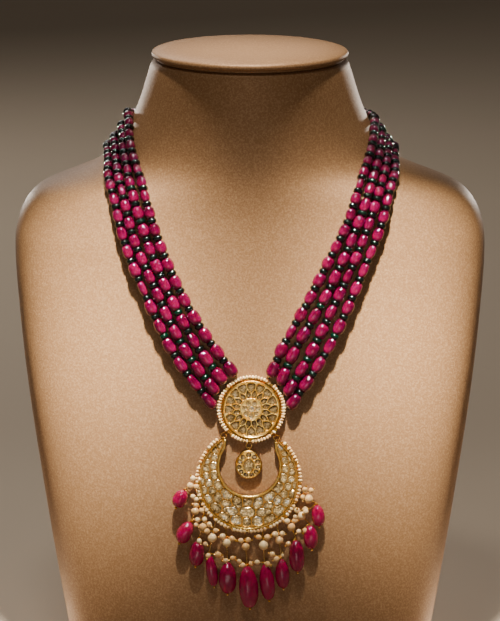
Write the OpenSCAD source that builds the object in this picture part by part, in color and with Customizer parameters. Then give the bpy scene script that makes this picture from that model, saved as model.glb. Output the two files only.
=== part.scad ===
// A polki bead pendant necklace on a plain neck bust.
// Four strings of ruby beads on each side carry a round medallion, from which a
// crescent, a pear drop and eleven ruby drops hang. All lie on a covered neck bust.
// The front faces -Y, +Z is up, and the origin is under the middle of the base.

/* [Bust] */
// Height of the bust with its cap
bust_h = 300; // [296:1:304]
// Widest half width, at the shoulders
shoulder_half_w = 110; // [106:1:114]
// How far the foot of the chest stands in front of the origin
chest_foot_y = 68.4; // [67:0.2:70]
// Lean of the chest away from the viewer, in degrees
chest_lean = 9; // [8:0.5:10]
// Radius of the edges at the base and at the top of the neck
bust_edge_r = 2.5; // [1.5:0.5:3.5]

/* [Bust cap] */
// Radius of the disc
cap_r = 45.8; // [44:0.2:46.4]
// Thickness of the disc
cap_t = 4.4; // [4:0.2:6]
// Depth of the groove between the disc and the neck
cap_groove_d = 2; // [1:0.2:2.4]
// Height of the groove between the disc and the neck
cap_groove_h = 0.8; // [0.6:0.2:1.4]

/* [Strings] */
// Diameter of a bead beside the medallion
bead_low_d = 5.3; // [4.8:0.1:5.6]
// Diameter of a bead at the side of the neck
bead_high_d = 3.9; // [3.6:0.1:4.2]
// Room left between two beads for a spacer
spacer_gap = 2.5; // [2.2:0.1:2.8]
// How much the spacing shrinks from the medallion to the neck, as a share
pitch_taper = 0.22; // [0.1:0.02:0.3]
// Share by which beads differ in size
bead_variation = 0.05; // [0:0.01:0.08]
// Radius of the hole through a bead
bead_bore_r = 0.6; // [0.5:0.05:0.7]
// Radius of the thread in the hole
thread_r = 0.3; // [0.25:0.05:0.35]
// Radius of a string behind the neck
back_string_r = 2.0; // [1.8:0.1:2.2]
// Height of the highest string behind the neck
back_string_h = 266; // [265:0.5:267]
// Distance between two strings behind the neck
back_string_pitch = 5; // [4.8:0.1:5.4]
// Clearance between a bead and the bust
rest_gap = 0.4; // [0.3:0.05:0.6]

/* [Clasp] */
// Width of the clasp, round the neck
clasp_w = 10; // [9:0.5:12]
// Height of the clasp, across the strings
clasp_h = 20; // [19:0.5:22]
// Thickness of the clasp
clasp_t = 3.2; // [2.6:0.1:3.6]

/* [Medallion] */
// Height of the medallion's middle, measured up the chest
medallion_up = 145.9; // [144:0.1:148]
// Place of the medallion's middle, to the right
medallion_x = 0.6; // [0:0.1:1]
// Outer radius of the gold rim
medallion_r = 13.6; // [13.4:0.1:13.8]
// Width of the raised rim
medallion_rim_w = 1.3; // [1:0.1:1.4]
// Number of petals in each of the two rings of stones
petals = 16; // [16]
// Radius of the round stone in the middle
centre_stone_r = 4.4; // [4.2:0.1:4.5]

/* [Crescent] */
// Place of the crescent's middle, to the right
crescent_x = -0.6; // [-1:0.1:0]
// Distance from the medallion's middle down to the crescent's
crescent_drop = 32.6; // [32.5:0.05:32.7]
// Turn of the crescent as it hangs, in degrees
crescent_turn = -2.6; // [-3:0.1:-2]
// Outer radius of the gold
crescent_r = 22.4; // [22.2:0.1:22.6]
// Radius of the opening
opening_r = 13.6; // [13.4:0.1:13.8]
// Distance from the crescent's middle up to the opening's
opening_up = 6.6; // [6.4:0.1:6.8]
// Half width of the opening between the horns
horn_half_gap = 10.9; // [10.8:0.1:11]
// Height of the horns above the crescent's middle
horn_up = 18.2; // [18.1:0.05:18.3]
// Width of the polished wall round the opening
inner_wall_w = 1.2; // [1:0.1:1.3]

/* [Settings] */
// Clearance between the pendant and the chest
pendant_gap = 0.5; // [0.4:0.05:0.6]
// Thickness of the gold back plates
plate_t = 0.9; // [0.8:0.1:1]
// Thickness of the gold that holds the stones
field_t = 1.6; // [1.5:0.1:1.8]
// Height of the raised rims above the field
rim_up = 0.5; // [0.4:0.1:0.6]
// Depth of a stone's pocket
pocket_d = 1.1; // [1:0.05:1.2]
// Clearance round a stone and under it
stone_gap = 0.12; // [0.1:0.01:0.14]
// Height of a stone
stone_h = 1.0; // [0.9:0.05:1.05]
// Radius of a seed pearl in the rims
seed_pearl_r = 0.95; // [0.9:0.05:1]
// Width of the step that carries the seed pearls
pearl_step_w = 1.4; // [1.3:0.05:1.5]

/* [Rings and wires] */
// Radius of a jump ring, to the middle of its wire
jump_ring_r = 1.3; // [1.28:0.01:1.32]
// Radius of the jump rings' wire
jump_wire_r = 0.22; // [0.2:0.01:0.22]
// Radius of a lug's loop, to the middle of its wire
lug_r = 0.62; // [0.62:0.01:0.66]
// Radius of the lugs' wire
lug_wire_r = 0.22; // [0.2:0.01:0.22]
// Radius of the wire that carries a ruby drop
drop_wire_r = 0.22; // [0.2:0.01:0.25]
// Radius of the hole through a drop or a large pearl
drop_bore_r = 0.5; // [0.45:0.01:0.55]
// Radius of the knot of wire above a drop
drop_knot_r = 0.45; // [0.4:0.01:0.5]
// Radius of the gold ball under a drop
drop_ball_r = 0.7; // [0.6:0.05:0.75]

/* [Pear drop] */
// Width of the pear drop
pear_w = 12.4; // [12.2:0.1:12.6]
// Height of the pear drop
pear_h = 13.2; // [13:0.1:13.4]
// Distance from the medallion's middle down to the pear drop's
pear_down = 25.2; // [25:0.1:25.4]

/* [Hidden] */

gold = "goldenrod";
ruby = "crimson";
pearl = "antiquewhite";
polki = "palegoldenrod";
leather = "tan";

// Columns: height as a share of the neck's top, half width as a share of the widest,
// how far the front stands behind the leaning chest, back face, squareness.
BUST_HEIGHT = 0;
BUST_HALF_W = 1;
BUST_SET_BACK = 2;
BUST_BACK = 3;
BUST_SQUARE = 4;
bust_sections = [
  [0.000, 0.736, 0.0, 54.0, 2.9],
  [0.169, 0.818, 0.0, 53.0, 2.9],
  [0.337, 0.891, 0.0, 53.0, 2.9],
  [0.506, 0.955, 0.0, 54.0, 2.9],
  [0.645, 0.991, 0.0, 56.0, 2.8],
  [0.725, 1.000, 0.2, 58.0, 2.6],
  [0.779, 0.955, 0.8, 60.0, 2.35],
  [0.807, 0.873, 0.9, 61.5, 2.15],
  [0.824, 0.745, 0.9, 62.5, 2.05],
  [0.841, 0.632, 0.8, 63.0, 2.0],
  [0.874, 0.550, 0.2, 63.5, 2.0],
  [0.922, 0.482, -1.0, 63.8, 2.0],
  [1.000, 0.414, -3.2, 63.5, 2.0]
];
bust_sides = 52;
// Distance between the bust's rings on the chest, and from the shoulders upwards.
chest_step = 12;
neck_step = 4.4;
shoulder_share = 0.72;
neck_top = bust_h - cap_t - cap_groove_h;

// Routes of the strings, from the medallion to the side of the neck.
// Columns: degrees round the bust from the middle of its front, height.
left_routes = [
  [[6, 157.5], [20, 173.5], [30, 188.5], [38, 206], [44, 223], [48.4, 236.4], [51.2, 241.4],
    [56, 246.4], [61.4, 251.8], [67, 257.4], [74, 264.2], [81, 268.4]],
  [[11, 153.5], [25, 170.1], [34.4, 186.7], [42, 205], [47.5, 222], [51.4, 234.2],
    [54.4, 239.8], [59.5, 245], [64.7, 250], [69.3, 254], [74, 257.9], [82, 262]],
  [[15, 149.5], [28, 164.9], [37, 181.5], [45, 203], [50.5, 219], [54.6, 234.4], [58.2, 239.9],
    [62.1, 243.4], [68.7, 248.1], [75, 252.6], [83, 256.4]],
  [[17, 144], [32.6, 162.8], [41.2, 181], [49, 204], [54, 221.5], [57.2, 233.8], [59.7, 238.1],
    [63.3, 241.4], [70.2, 245.8], [76, 249.2], [86, 252.2]]
];
right_routes = [
  [[9.6, 157.2], [17.6, 173.2], [29, 192], [38, 210.5], [45, 226], [49, 237], [52.6, 242.1],
    [58, 247.2], [64, 252.9], [69.2, 257.4], [74.5, 261.4], [81, 265]],
  [[14, 152.7], [24, 172.7], [34, 189.5], [42, 208], [48, 224.5], [53.3, 237.9], [57.6, 242.5],
    [65, 248.3], [71.7, 253.3], [77, 256.8], [83, 259.4]],
  [[17.3, 149.3], [28.3, 166.2], [38.2, 187.8], [46, 208], [51.5, 225], [54.9, 234.4],
    [57.8, 239.2], [62, 242.9], [67, 245.8], [74.4, 250.3], [83, 254]],
  [[19, 143.8], [32.8, 163.6], [42.6, 185.4], [50, 209], [55.5, 226], [58.7, 235.9],
    [61.2, 239.2], [65.6, 242.4], [72.9, 246.2], [80, 249.6], [87, 251]]
];
left_bead_counts = [18, 17, 17, 17];
right_bead_counts = [18, 16, 17, 17];
route_steps = 8;
front_end_turn = 84;

// Outline exponents of the stones: at the pointed end, at the other end.
oval = [1.0, 1.0];
pear = [1.7, 0.85];
marquise = [1.5, 1.5];
cushion = [0.7, 0.7];
stone_sides = 12;

// Stones of the crescent on its right half, from the middle upwards.
// Columns: to the right, up, length, width, turn of the length, outline.
crescent_pairs = [
  [4.6, -10.5, 4.9, 2.7, 58, marquise],
  [9.7, -7.0, 4.2, 3.4, 42, pear],
  [13.6, -2.9, 3.8, 3.2, 62, pear],
  [15.9, 1.5, 3.2, 2.9, 80, pear],
  [16.7, 5.6, 2.9, 2.4, 92, pear],
  [16.7, 9.4, 2.7, 1.9, 98, pear],
  [7.5, -14.3, 5.6, 2.9, 12, marquise],
  [10.6, -11.4, 3.6, 1.8, 38, marquise],
  [13.7, -8.2, 4.0, 2.8, 50, oval],
  [16.8, -5.0, 3.1, 2.6, 60, pear],
  [18.6, -1.5, 2.9, 2.2, 74, oval],
  [19.4, 2.0, 2.6, 1.8, 86, oval],
  [19.5, 5.2, 2.3, 1.5, 94, oval],
  [4.6, -18.6, 3.7, 2.8, 14, oval],
  [9.1, -17.5, 3.9, 2.2, 27, cushion],
  [13.7, -13.2, 3.8, 3.2, 42, cushion],
  [17.5, -9.7, 3.4, 2.6, 58, oval],
  [19.9, -6.0, 2.9, 1.9, 70, oval]
];
// Stones on the crescent's middle line, with the same columns.
crescent_middle = [
  [0, -9.9, 3.5, 3.1, 90, pear],
  [0, -14.3, 5.8, 3.8, 0, oval],
  [0, -18.9, 2.9, 2.7, 90, pear]
];

// The ruby drops, from left to right, from the medallion's middle and up the chest.
// Columns: wire's foot on the crescent in degrees from straight down, pearl's place as
// a share of the wire, pearl's radius, drop's middle, width, length, lean, extra lift.
DROP_FOOT = 0;
DROP_SHARE = 1;
DROP_PEARL_R = 2;
DROP_X = 3;
DROP_Y = 4;
DROP_W = 5;
DROP_LEN = 6;
DROP_LEAN = 7;
DROP_LIFT = 8;
drops = [
  [-86, 0.42, 1.8, -31.7, -40.6, 6.8, 8.6, -26, 0.4],
  [-66, 0.50, 1.9, -29.6, -56.2, 7.0, 10.6, -28, 0.4],
  [-50, 0.50, 1.9, -24.2, -66.0, 7.0, 11.6, -6, 0.0],
  [-38, 0.50, 2.2, -17.5, -74.0, 5.2, 14.6, 9, 0.6],
  [-25, 0.44, 2.0, -10.2, -77.2, 8.0, 14.4, 0, 0.0],
  [-4, 0.42, 1.9, -0.7, -81.3, 8.8, 19.2, 4, 0.3],
  [15, 0.44, 2.3, 7.7, -79.2, 7.0, 16.6, 7, 0.0],
  [32, 0.46, 2.0, 14.8, -75.4, 6.6, 13.6, 4, 0.0],
  [46, 0.46, 1.9, 21.3, -67.0, 7.2, 14.6, 3, 0.8],
  [58, 0.48, 2.0, 27.6, -58.4, 6.8, 10.8, 5, 0.0],
  [74, 0.50, 2.1, 31.0, -48.6, 6.0, 9.8, 6, 0.0]
];

ruby_profile_steps = 10;

function falls_in(rows, z, i = 0) =
  (i >= len(rows) - 2 || z <= rows[i + 1][0]) ? i : falls_in(rows, z, i + 1);

function row_slope(rows, col, k) =
  let(a = max(k - 1, 0), b = min(k + 1, len(rows) - 1))
  (rows[b][col] - rows[a][col]) / (rows[b][0] - rows[a][0]);

// A column of a table at height z, on a smooth curve through its rows.
function smooth_column(rows, col, z) =
  let(
    i = falls_in(rows, z),
    h = rows[i + 1][0] - rows[i][0],
    t = (z - rows[i][0]) / h,
    from = rows[i][col],
    to = rows[i + 1][col],
    m0 = row_slope(rows, col, i) * h,
    m1 = row_slope(rows, col, i + 1) * h
  )
  (2 * t ^ 3 - 3 * t ^ 2 + 1) * from + (t ^ 3 - 2 * t ^ 2 + t) * m0
    + (3 * t ^ 2 - 2 * t ^ 3) * to + (t ^ 3 - t ^ 2) * m1;

function share(z) = min(max(z / neck_top, 0), 1);
function bust_half_w(z) = shoulder_half_w * smooth_column(bust_sections, BUST_HALF_W, share(z));
function bust_front(z) =
  -chest_foot_y + z * tan(chest_lean) + smooth_column(bust_sections, BUST_SET_BACK, share(z));
function bust_back(z) = smooth_column(bust_sections, BUST_BACK, share(z));
function bust_half_d(z) = (bust_back(z) - bust_front(z)) / 2;
function bust_mid(z) = (bust_back(z) + bust_front(z)) / 2;
function bust_square(z) = smooth_column(bust_sections, BUST_SQUARE, share(z));

// Distance from the middle of a section to its outline, in the direction of turn.
function section_radius(turn, z) =
  let(n = bust_square(z))
  (abs(sin(turn) / bust_half_w(z)) ^ n + abs(cos(turn) / bust_half_d(z)) ^ n) ^ (-1 / n);

function on_bust(turn, z, inset = 0) =
  let(r = section_radius(turn, z) - inset)
  [r * sin(turn), bust_mid(z) - r * cos(turn), z];

function unit(v) = v / norm(v);

// Outward direction of the bust's surface.
function bust_normal(turn, z) =
  let(
    step = 0.5,
    round_it = on_bust(turn + step, z) - on_bust(turn - step, z),
    up_it = on_bust(turn, z + step) - on_bust(turn, z - step)
  )
  unit(cross(round_it, up_it));

function above_bust(turn, z, lift) = on_bust(turn, z) + lift * bust_normal(turn, z);

// How far the rounded edges at the base and the top of the neck stand in.
function edge_inset(z) =
  let(d = min(z, neck_top - z))
  d >= bust_edge_r ? 0 : bust_edge_r - sqrt(bust_edge_r ^ 2 - (bust_edge_r - d) ^ 2);

function even_levels(from, to, step) =
  let(count = ceil((to - from) / step))
  [for (i = [0:count - 1]) from + (to - from) * i / count];

bust_levels = concat(
  [0, 0.12 * bust_edge_r, 0.45 * bust_edge_r],
  even_levels(bust_edge_r, shoulder_share * neck_top, chest_step),
  even_levels(shoulder_share * neck_top, neck_top - bust_edge_r, neck_step),
  [neck_top - bust_edge_r, neck_top - 0.45 * bust_edge_r, neck_top - 0.12 * bust_edge_r,
    neck_top]
);

// Faces and end caps of a stack of rings that each have the same number of sides.
// split is for rings whose four-cornered faces aren't flat.
function stack_faces(rings, sides, split = false) = concat(
  [[for (i = [0:sides - 1]) i]],
  [for (k = [0:rings - 2], i = [0:sides - 1])
    let(a = k * sides + i, b = k * sides + (i + 1) % sides)
    each split
      ? [[b, a, a + sides], [b, a + sides, b + sides]]
      : [[b, a, a + sides, b + sides]]],
  [[for (i = [sides - 1:-1:0]) (rings - 1) * sides + i]]
);

module bust() {
  points = [for (z = bust_levels, i = [0:bust_sides - 1])
    let(
      even = 360 * i / bust_sides,
      turn = atan2(bust_half_w(z) * sin(even), bust_half_d(z) * cos(even))
    )
    on_bust(turn, z, edge_inset(z))];
  color(leather)
    polyhedron(points, stack_faces(len(bust_levels), bust_sides, split = true), convexity = 6);
}

module bust_cap() {
  edge = cap_t / 2;
  from = -acos((edge - cap_groove_d) / edge);
  steps = 16;
  color(leather)
    translate([0, bust_mid(neck_top), neck_top])
      rotate_extrude($fn = 120)
        polygon(concat(
          [[0, cap_groove_h + cap_t], [0, 0], [cap_r - cap_groove_d, 0]],
          [for (i = [0:steps])
            let(a = from + (90 - from) * i / steps)
            [cap_r - edge + edge * cos(a), cap_groove_h + edge + edge * sin(a)]]
        ));
}

function curve_value(a, b, c, d, t) =
  0.5 * (2 * b + (c - a) * t + (2 * a - 5 * b + 4 * c - d) * t ^ 2
    + (3 * b - a - 3 * c + d) * t ^ 3);

// The whole route of a string, with its stretch behind the neck.
function full_route(rows, index) =
  let(back_z = back_string_h - index * back_string_pitch)
  concat(rows, [[105, back_z - 1], [135, back_z], [160, back_z], [182, back_z]]);

// Points along a route, on one smooth curve over the bust; side is -1 or 1.
function route_points(rows, side, lift) =
  let(last = len(rows) - 1)
  [for (k = [0:last - 1], s = [0:route_steps - 1])
    let(
      t = s / route_steps,
      here = curve_value(rows[max(k - 1, 0)], rows[k], rows[k + 1], rows[min(k + 2, last)], t)
    )
    above_bust(side * here[0], here[1], lift)];

// Table of length travelled against one coordinate, for lookup().
function travelled(points) =
  [for (i = 0, s = 0; i < len(points);
      s = s + (i + 1 < len(points) ? norm(points[i + 1] - points[i]) : 0), i = i + 1) s];
function at_length(points, lengths, s) =
  [for (axis = [0:2]) lookup(s, [for (i = [0:len(points) - 1]) [lengths[i], points[i][axis]]])];

// Length travelled where a value that grows along the route passes a limit.
function length_where(values, lengths, limit, i = 1) =
  values[i] >= limit || i >= len(values) - 1
    ? lengths[i - 1] + (lengths[i] - lengths[i - 1])
      * (limit - values[i - 1]) / (values[i] - values[i - 1])
    : length_where(values, lengths, limit, i + 1);
function turns_of(points) =
  [for (p = points) abs(atan2(p[0], bust_mid(p[2]) - p[1]))];

function routes(side) = side < 0 ? left_routes : right_routes;
function bead_count(side, k) = side < 0 ? left_bead_counts[k] : right_bead_counts[k];

bead_lift = bead_low_d / 2 * (1 + bead_variation) + rest_gap;

// The medallion's middle at the height of the strings, and how far its rim reaches.
medallion_place = [medallion_x, -chest_foot_y, 0]
  + medallion_up * [0, sin(chest_lean), cos(chest_lean)]
  + bead_lift * [0, -cos(chest_lean), sin(chest_lean)];
medallion_reach = medallion_r + 2 * seed_pearl_r + stone_gap;

// The places between beads, from the medallion to the side of the neck.
function stations(side, k) =
  let(
    points = route_points(full_route(routes(side)[k], k), side, bead_lift),
    lengths = travelled(points),
    from = length_where([for (p = points) norm(p - medallion_place)], lengths,
      medallion_reach + rest_gap),
    total = length_where(turns_of(points), lengths, front_end_turn) - from,
    count = bead_count(side, k)
  )
  [for (i = [0:count])
    let(u = i / count)
    at_length(points, lengths,
      from + total * (u * (1 + pitch_taper) - pitch_taper * u ^ 2))];

function bead_d(i, count, k) =
  (bead_low_d + (bead_high_d - bead_low_d) * i / count)
    * (1 - bead_variation / 2 + bead_variation / 2 * sin(137 * i + 71 * k));

// Places something that stands along +Z so that it points along v, with its middle at p.
module along(p, v) {
  translate(p)
    rotate([0, acos(v[2] / norm(v)), atan2(v[1], v[0])])
      children();
}

// A tumbled bead, drilled along its length.
module ruby_bead(length, diameter) {
  squareness = 2.5;
  start = acos((2 * (bead_bore_r + 0.35) / diameter) ^ (squareness / 2));
  rotate_extrude($fn = 40)
    polygon(concat(
      [[bead_bore_r, -length / 2], [bead_bore_r, length / 2]],
      [for (i = [0:ruby_profile_steps])
        let(a = start - 2 * start * i / ruby_profile_steps)
        [diameter / 2 * cos(a) ^ (2 / squareness),
          length / 2 * sign(a) * abs(sin(a) / sin(start)) ^ (2 / squareness)]]
    ));
}

module bead_string(side, k) {
  stops = stations(side, k);
  count = bead_count(side, k);
  color(ruby)
    for (i = [0:count - 1]) {
      chord = stops[i + 1] - stops[i];
      along((stops[i] + stops[i + 1]) / 2, chord)
        ruby_bead(norm(chord) - spacer_gap, bead_d(i, count, k));
    }
}

// A round tube through points, with flat ends.
module tube(points, r, sides) {
  last = len(points) - 1;
  rings = [for (i = [0:last])
    let(
      d = unit(points[min(i + 1, last)] - points[max(i - 1, 0)]),
      out = [points[i][0], points[i][1] - bust_mid(points[i][2]), 0],
      u = unit(cross(d, out)),
      v = cross(d, u)
    )
    for (s = [0:sides - 1])
      let(a = 360 * s / sides)
      points[i] + r * (cos(a) * u + sin(a) * v)];
  polyhedron(rings, stack_faces(last + 1, sides, split = true), convexity = 4);
}

module thread(side, k) {
  color("black") tube(stations(side, k), thread_r, 5);
}

// The stretch of a string from the side of the neck to the clasp.
module back_string(side, k) {
  points = route_points(full_route(routes(side)[k], k), side, back_string_r + 2 * rest_gap);
  lengths = travelled(points);
  turns = turns_of(points);
  from = length_where(turns, lengths, front_end_turn) + spacer_gap / 2;
  clasp_turn = 180 - asin((clasp_w / 2 + 0.3) / section_radius(180, back_string_h));
  to = length_where(turns, lengths, clasp_turn);
  rings = ceil((to - from) / (5 * back_string_r));
  color(ruby)
    tube([for (i = [0:rings]) at_length(points, lengths, from + (to - from) * i / rings)],
      back_string_r, 8);
}

// A plain box clasp across the four strings, on the back of the neck.
module clasp() {
  middle_z = back_string_h - 1.5 * back_string_pitch;
  lean = atan2(bust_back(middle_z + clasp_h / 2) - bust_back(middle_z - clasp_h / 2), clasp_h);
  corner = 1.2;
  color(gold)
    translate(on_bust(180, middle_z))
      rotate([90 - lean, 0, 180])
        translate([0, 0, rest_gap + 0.3])
          linear_extrude(clasp_t)
            union() {
              square([clasp_w, clasp_h - 2 * corner], center = true);
              square([clasp_w - 2 * corner, clasp_h], center = true);
              for (x = [-1, 1], y = [-1, 1])
                translate([x * (clasp_w / 2 - corner), y * (clasp_h / 2 - corner)])
                  circle(corner, $fn = 32);
            }
}

// Places the pendant's own frame on the chest: x to the right, y up, z out of it.
module on_chest() {
  translate([0, -chest_foot_y, 0])
    rotate([90 - chest_lean, 0, 0])
      translate([0, medallion_up, pendant_gap])
        children();
}

// Outline of a stone, with its length along x.
function stone_outline(length, width, shape) =
  [for (i = [0:stone_sides - 1])
    let(
      a = 360 * i / stone_sides,
      power = abs(cos(a)) < 0.001 ? 1 : cos(a) > 0 ? shape[0] : shape[1]
    )
    [length / 2 * cos(a), width / 2 * sign(sin(a)) * abs(sin(a)) ^ power]];

// A flat stone with a table and a ring of crown facets.
module stone(length, width, shape) {
  outline = stone_outline(length, width, shape);
  table_share = 0.55;
  girdle_h = 0.45 * stone_h;
  levels = [[0, 0.92], [0.15 * stone_h, 1], [girdle_h, 1], [stone_h, table_share]];
  polyhedron(
    [for (level = levels, p = outline) [p[0] * level[1], p[1] * level[1], level[0]]],
    stack_faces(len(levels), stone_sides)
  );
}

module pocket(length, width, shape) {
  linear_extrude(pocket_d + 1)
    polygon(stone_outline(length + 2 * stone_gap, width + 2 * stone_gap, shape));
}

stone_floor = plate_t + field_t - pocket_d;

// Calls its child at each stone of the medallion, which reads size and outline.
module medallion_layout(cut) {
  bud_r = 10.0;
  leaf_r = 6.95;
  for (i = [0:petals - 1]) {
    rotate(90 + 360 * i / petals)
      translate([bud_r, 0, 0])
        rotate(180) place_stone(cut, 4.0, 3.0, pear);
    rotate(90 + 360 * (i + 0.5) / petals)
      translate([leaf_r, 0, 0]) place_stone(cut, 3.2, 1.6, marquise);
  }
  place_stone(cut, 2 * centre_stone_r, 2 * centre_stone_r, oval);
}

module crescent_layout(cut) {
  for (row = crescent_middle) stone_at(cut, row, 1);
  for (row = crescent_pairs, side = [-1, 1]) stone_at(cut, row, side);
}

module stone_at(cut, row, side) {
  translate([side * row[0], row[1], 0])
    rotate(side > 0 ? row[4] : 180 - row[4])
      place_stone(cut, row[2], row[3], row[5]);
}

module place_stone(cut, length, width, shape) {
  if (cut)
    translate([0, 0, stone_floor]) pocket(length, width, shape);
  else
    translate([0, 0, stone_floor + stone_gap]) stone(length, width, shape);
}

// A loop of wire that stands on its edge, with its middle at p and its plane along turn.
module lug(p, turn) {
  translate([p[0], p[1], lug_up])
    rotate([0, 0, turn]) rotate([90, 0, 0])
      rotate_extrude($fn = 36)
        translate([lug_r, 0]) circle(lug_wire_r, $fn = 16);
}

lug_up = plate_t / 2 + 0.3;
lug_out = lug_r - 0.1;
medallion_step_r = medallion_r + pearl_step_w;
crescent_step_r = crescent_r + pearl_step_w;
medallion_at = [medallion_x, 0];
crescent_at = [crescent_x, -crescent_drop];
pear_at = [medallion_x - 1.2, -pear_down];

function turned(p, a) = [p[0] * cos(a) - p[1] * sin(a), p[0] * sin(a) + p[1] * cos(a)];
function heading(a, b) = atan2(b[1] - a[1], b[0] - a[0]);
function toward(a, b, d) = a + d * unit(b - a);

// Lugs on the horns, in the crescent's frame, each straight under its ring's middle.
lug_stem = 0.6;
medallion_from_crescent = turned(medallion_at - crescent_at, -crescent_turn);
horn_ring_reach = medallion_step_r + lug_stem + lug_out + jump_ring_r;
horn_ring_fall = medallion_from_crescent[1] - (horn_up + lug_out + jump_ring_r);
horn_ring_out = sqrt(horn_ring_reach ^ 2 - horn_ring_fall ^ 2);
horn_lugs = [for (side = [-1, 1])
  [medallion_from_crescent[0] + side * horn_ring_out, horn_up + lug_out]];

// Middles of the rings at the left horn, the right horn and the pear drop.
pear_top = pear_at + [0, pear_h / 2];
ring_middles = concat(
  [for (p = horn_lugs) crescent_at + turned(p + [0, jump_ring_r], crescent_turn)],
  [toward(medallion_at, pear_top, medallion_step_r + lug_out + jump_ring_r)]
);

module medallion() {
  color(gold) on_chest() translate([medallion_x, 0, 0]) {
    difference() {
      union() {
        cylinder(plate_t, r = medallion_step_r, $fn = 96);
        cylinder(plate_t + field_t, r = medallion_r, $fn = 96);
        difference() {
          cylinder(plate_t + field_t + rim_up, r = medallion_r, $fn = 96);
          translate([0, 0, plate_t + field_t])
            cylinder(rim_up + 1, r = medallion_r - medallion_rim_w, $fn = 96);
        }
        difference() {
          cylinder(plate_t + field_t + rim_up, r = centre_stone_r + 0.7, $fn = 64);
          translate([0, 0, plate_t + field_t])
            cylinder(rim_up + 1, r = centre_stone_r + 0.3, $fn = 64);
        }
      }
      medallion_layout(true);
    }
    for (i = [0:2])
      rotate(heading(medallion_at, ring_middles[i])) {
        reach = norm(ring_middles[i] - medallion_at) - jump_ring_r;
        lug([reach, 0], 0);
        translate([medallion_step_r - 0.5, -0.3, 0])
          cube([reach - lug_r - medallion_step_r + 0.5, 0.6, plate_t]);
      }
  }
}

module medallion_stones() {
  color(polki) on_chest() translate([medallion_x, 0, 0]) medallion_layout(false);
}

module pearl_torus(r) {
  translate([0, 0, plate_t + stone_gap + seed_pearl_r])
    rotate_extrude($fn = 96)
      translate([r, 0]) circle(seed_pearl_r, $fn = 32);
}

// The pearl rim, open where the lugs stand.
module medallion_pearl_rim() {
  opening_w = 1.5;
  color(pearl) on_chest() translate([medallion_x, 0, 0])
    difference() {
      pearl_torus(medallion_r + seed_pearl_r + stone_gap);
      for (p = ring_middles)
        rotate(heading(medallion_at, p))
          translate([medallion_r - 1, -opening_w / 2, 0]) cube([5, opening_w, 5]);
    }
}

// The opening of the crescent, drawn wider by grow.
module opening_shape(grow) {
  reach = 2 * crescent_r;
  half = opening_r + grow;
  gap = horn_half_gap + grow;
  translate([0, opening_up]) circle(half, $fn = 96);
  polygon([[-half, opening_up], [half, opening_up], [half, opening_up + 2], [gap, horn_up],
    [gap, reach], [-gap, reach], [-gap, horn_up], [-half, opening_up + 2]]);
}

module crescent_shape(r, grow) {
  difference() {
    circle(r, $fn = 128);
    opening_shape(grow);
    translate([-2 * r, horn_up]) square(4 * r);
  }
}

// Places what is drawn round the crescent's middle.
module on_crescent() {
  on_chest() translate([crescent_at[0], crescent_at[1], 0]) rotate(crescent_turn) children();
}

module crescent() {
  color(gold) on_crescent() {
    difference() {
      union() {
        linear_extrude(plate_t) crescent_shape(crescent_step_r, 0);
        linear_extrude(plate_t + field_t) crescent_shape(crescent_r, 0);
        linear_extrude(plate_t + field_t + rim_up)
          difference() {
            crescent_shape(crescent_r, 0);
            crescent_shape(crescent_r - 0.5, inner_wall_w);
          }
      }
      crescent_layout(true);
    }
    for (p = horn_lugs) lug(p, 90);
  }
}

module crescent_stones() {
  color(polki) on_crescent() crescent_layout(false);
}

module crescent_pearl_rim() {
  ring_r = crescent_r + seed_pearl_r + stone_gap;
  color(pearl) on_crescent()
    difference() {
      pearl_torus(ring_r);
      translate([-2 * crescent_r, horn_up - 1.6, 0]) cube(4 * crescent_r);
    }
}

// Outline of the pear drop, pointed at the top.
module pear_shape(width, height) {
  r = width / 2;
  union() {
    translate([0, r - height / 2]) circle(r, $fn = 72);
    polygon([[-0.87 * r, 0.5 * r + r - height / 2], [0.87 * r, 0.5 * r + r - height / 2],
      [0.55, height / 2], [-0.55, height / 2]]);
  }
}

pear_stone_l = 6.0;
pear_stone_w = 4.6;

module pear_drop() {
  color(gold) on_chest() translate([pear_at[0], pear_at[1], 0]) {
    difference() {
      union() {
        linear_extrude(plate_t + field_t) pear_shape(pear_w, pear_h);
        linear_extrude(plate_t + field_t + rim_up)
          rotate(90) polygon(stone_outline(pear_stone_l + 1.6, pear_stone_w + 1.6, oval));
      }
      translate([0, 0, rim_up]) rotate(90) place_stone(true, pear_stone_l, pear_stone_w, oval);
    }
    lug(toward(pear_top, medallion_at, lug_out) - pear_at, heading(medallion_at, pear_top));
  }
}

module pear_stone() {
  color(polki) on_chest() translate([pear_at[0], pear_at[1], rim_up])
    rotate(90) place_stone(false, pear_stone_l, pear_stone_w, oval);
}

module jump_ring(p) {
  color(gold) on_chest()
    translate([p[0], p[1], lug_up])
      rotate_extrude($fn = 48)
        translate([jump_ring_r, 0]) circle(jump_wire_r, $fn = 16);
}

// Places on a drop and its wire, in the pendant's frame.
function drop_dir(d) = [sin(d[DROP_LEAN]), -cos(d[DROP_LEAN]), 0];
function drop_mid(d) = [d[DROP_X], d[DROP_Y], d[DROP_W] / 2 + d[DROP_LIFT]];
function drop_top(d) = drop_mid(d) - (d[DROP_LEN] / 2 + drop_knot_r + 0.25) * drop_dir(d);
function drop_tip(d) = drop_mid(d) + (d[DROP_LEN] / 2 + 0.1 + drop_ball_r) * drop_dir(d);
wire_foot_r = crescent_r + 2 * seed_pearl_r + stone_gap + 0.35;
function wire_foot(d) =
  [crescent_at[0] + wire_foot_r * sin(d[DROP_FOOT]),
    crescent_at[1] - wire_foot_r * cos(d[DROP_FOOT]), plate_t + 0.6];
function pearl_mid(d) = wire_foot(d) + d[DROP_SHARE] * (drop_top(d) - wire_foot(d));

module rod(a, b, r) {
  along(a, b - a) cylinder(norm(b - a), r = r, $fn = 16);
}

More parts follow.
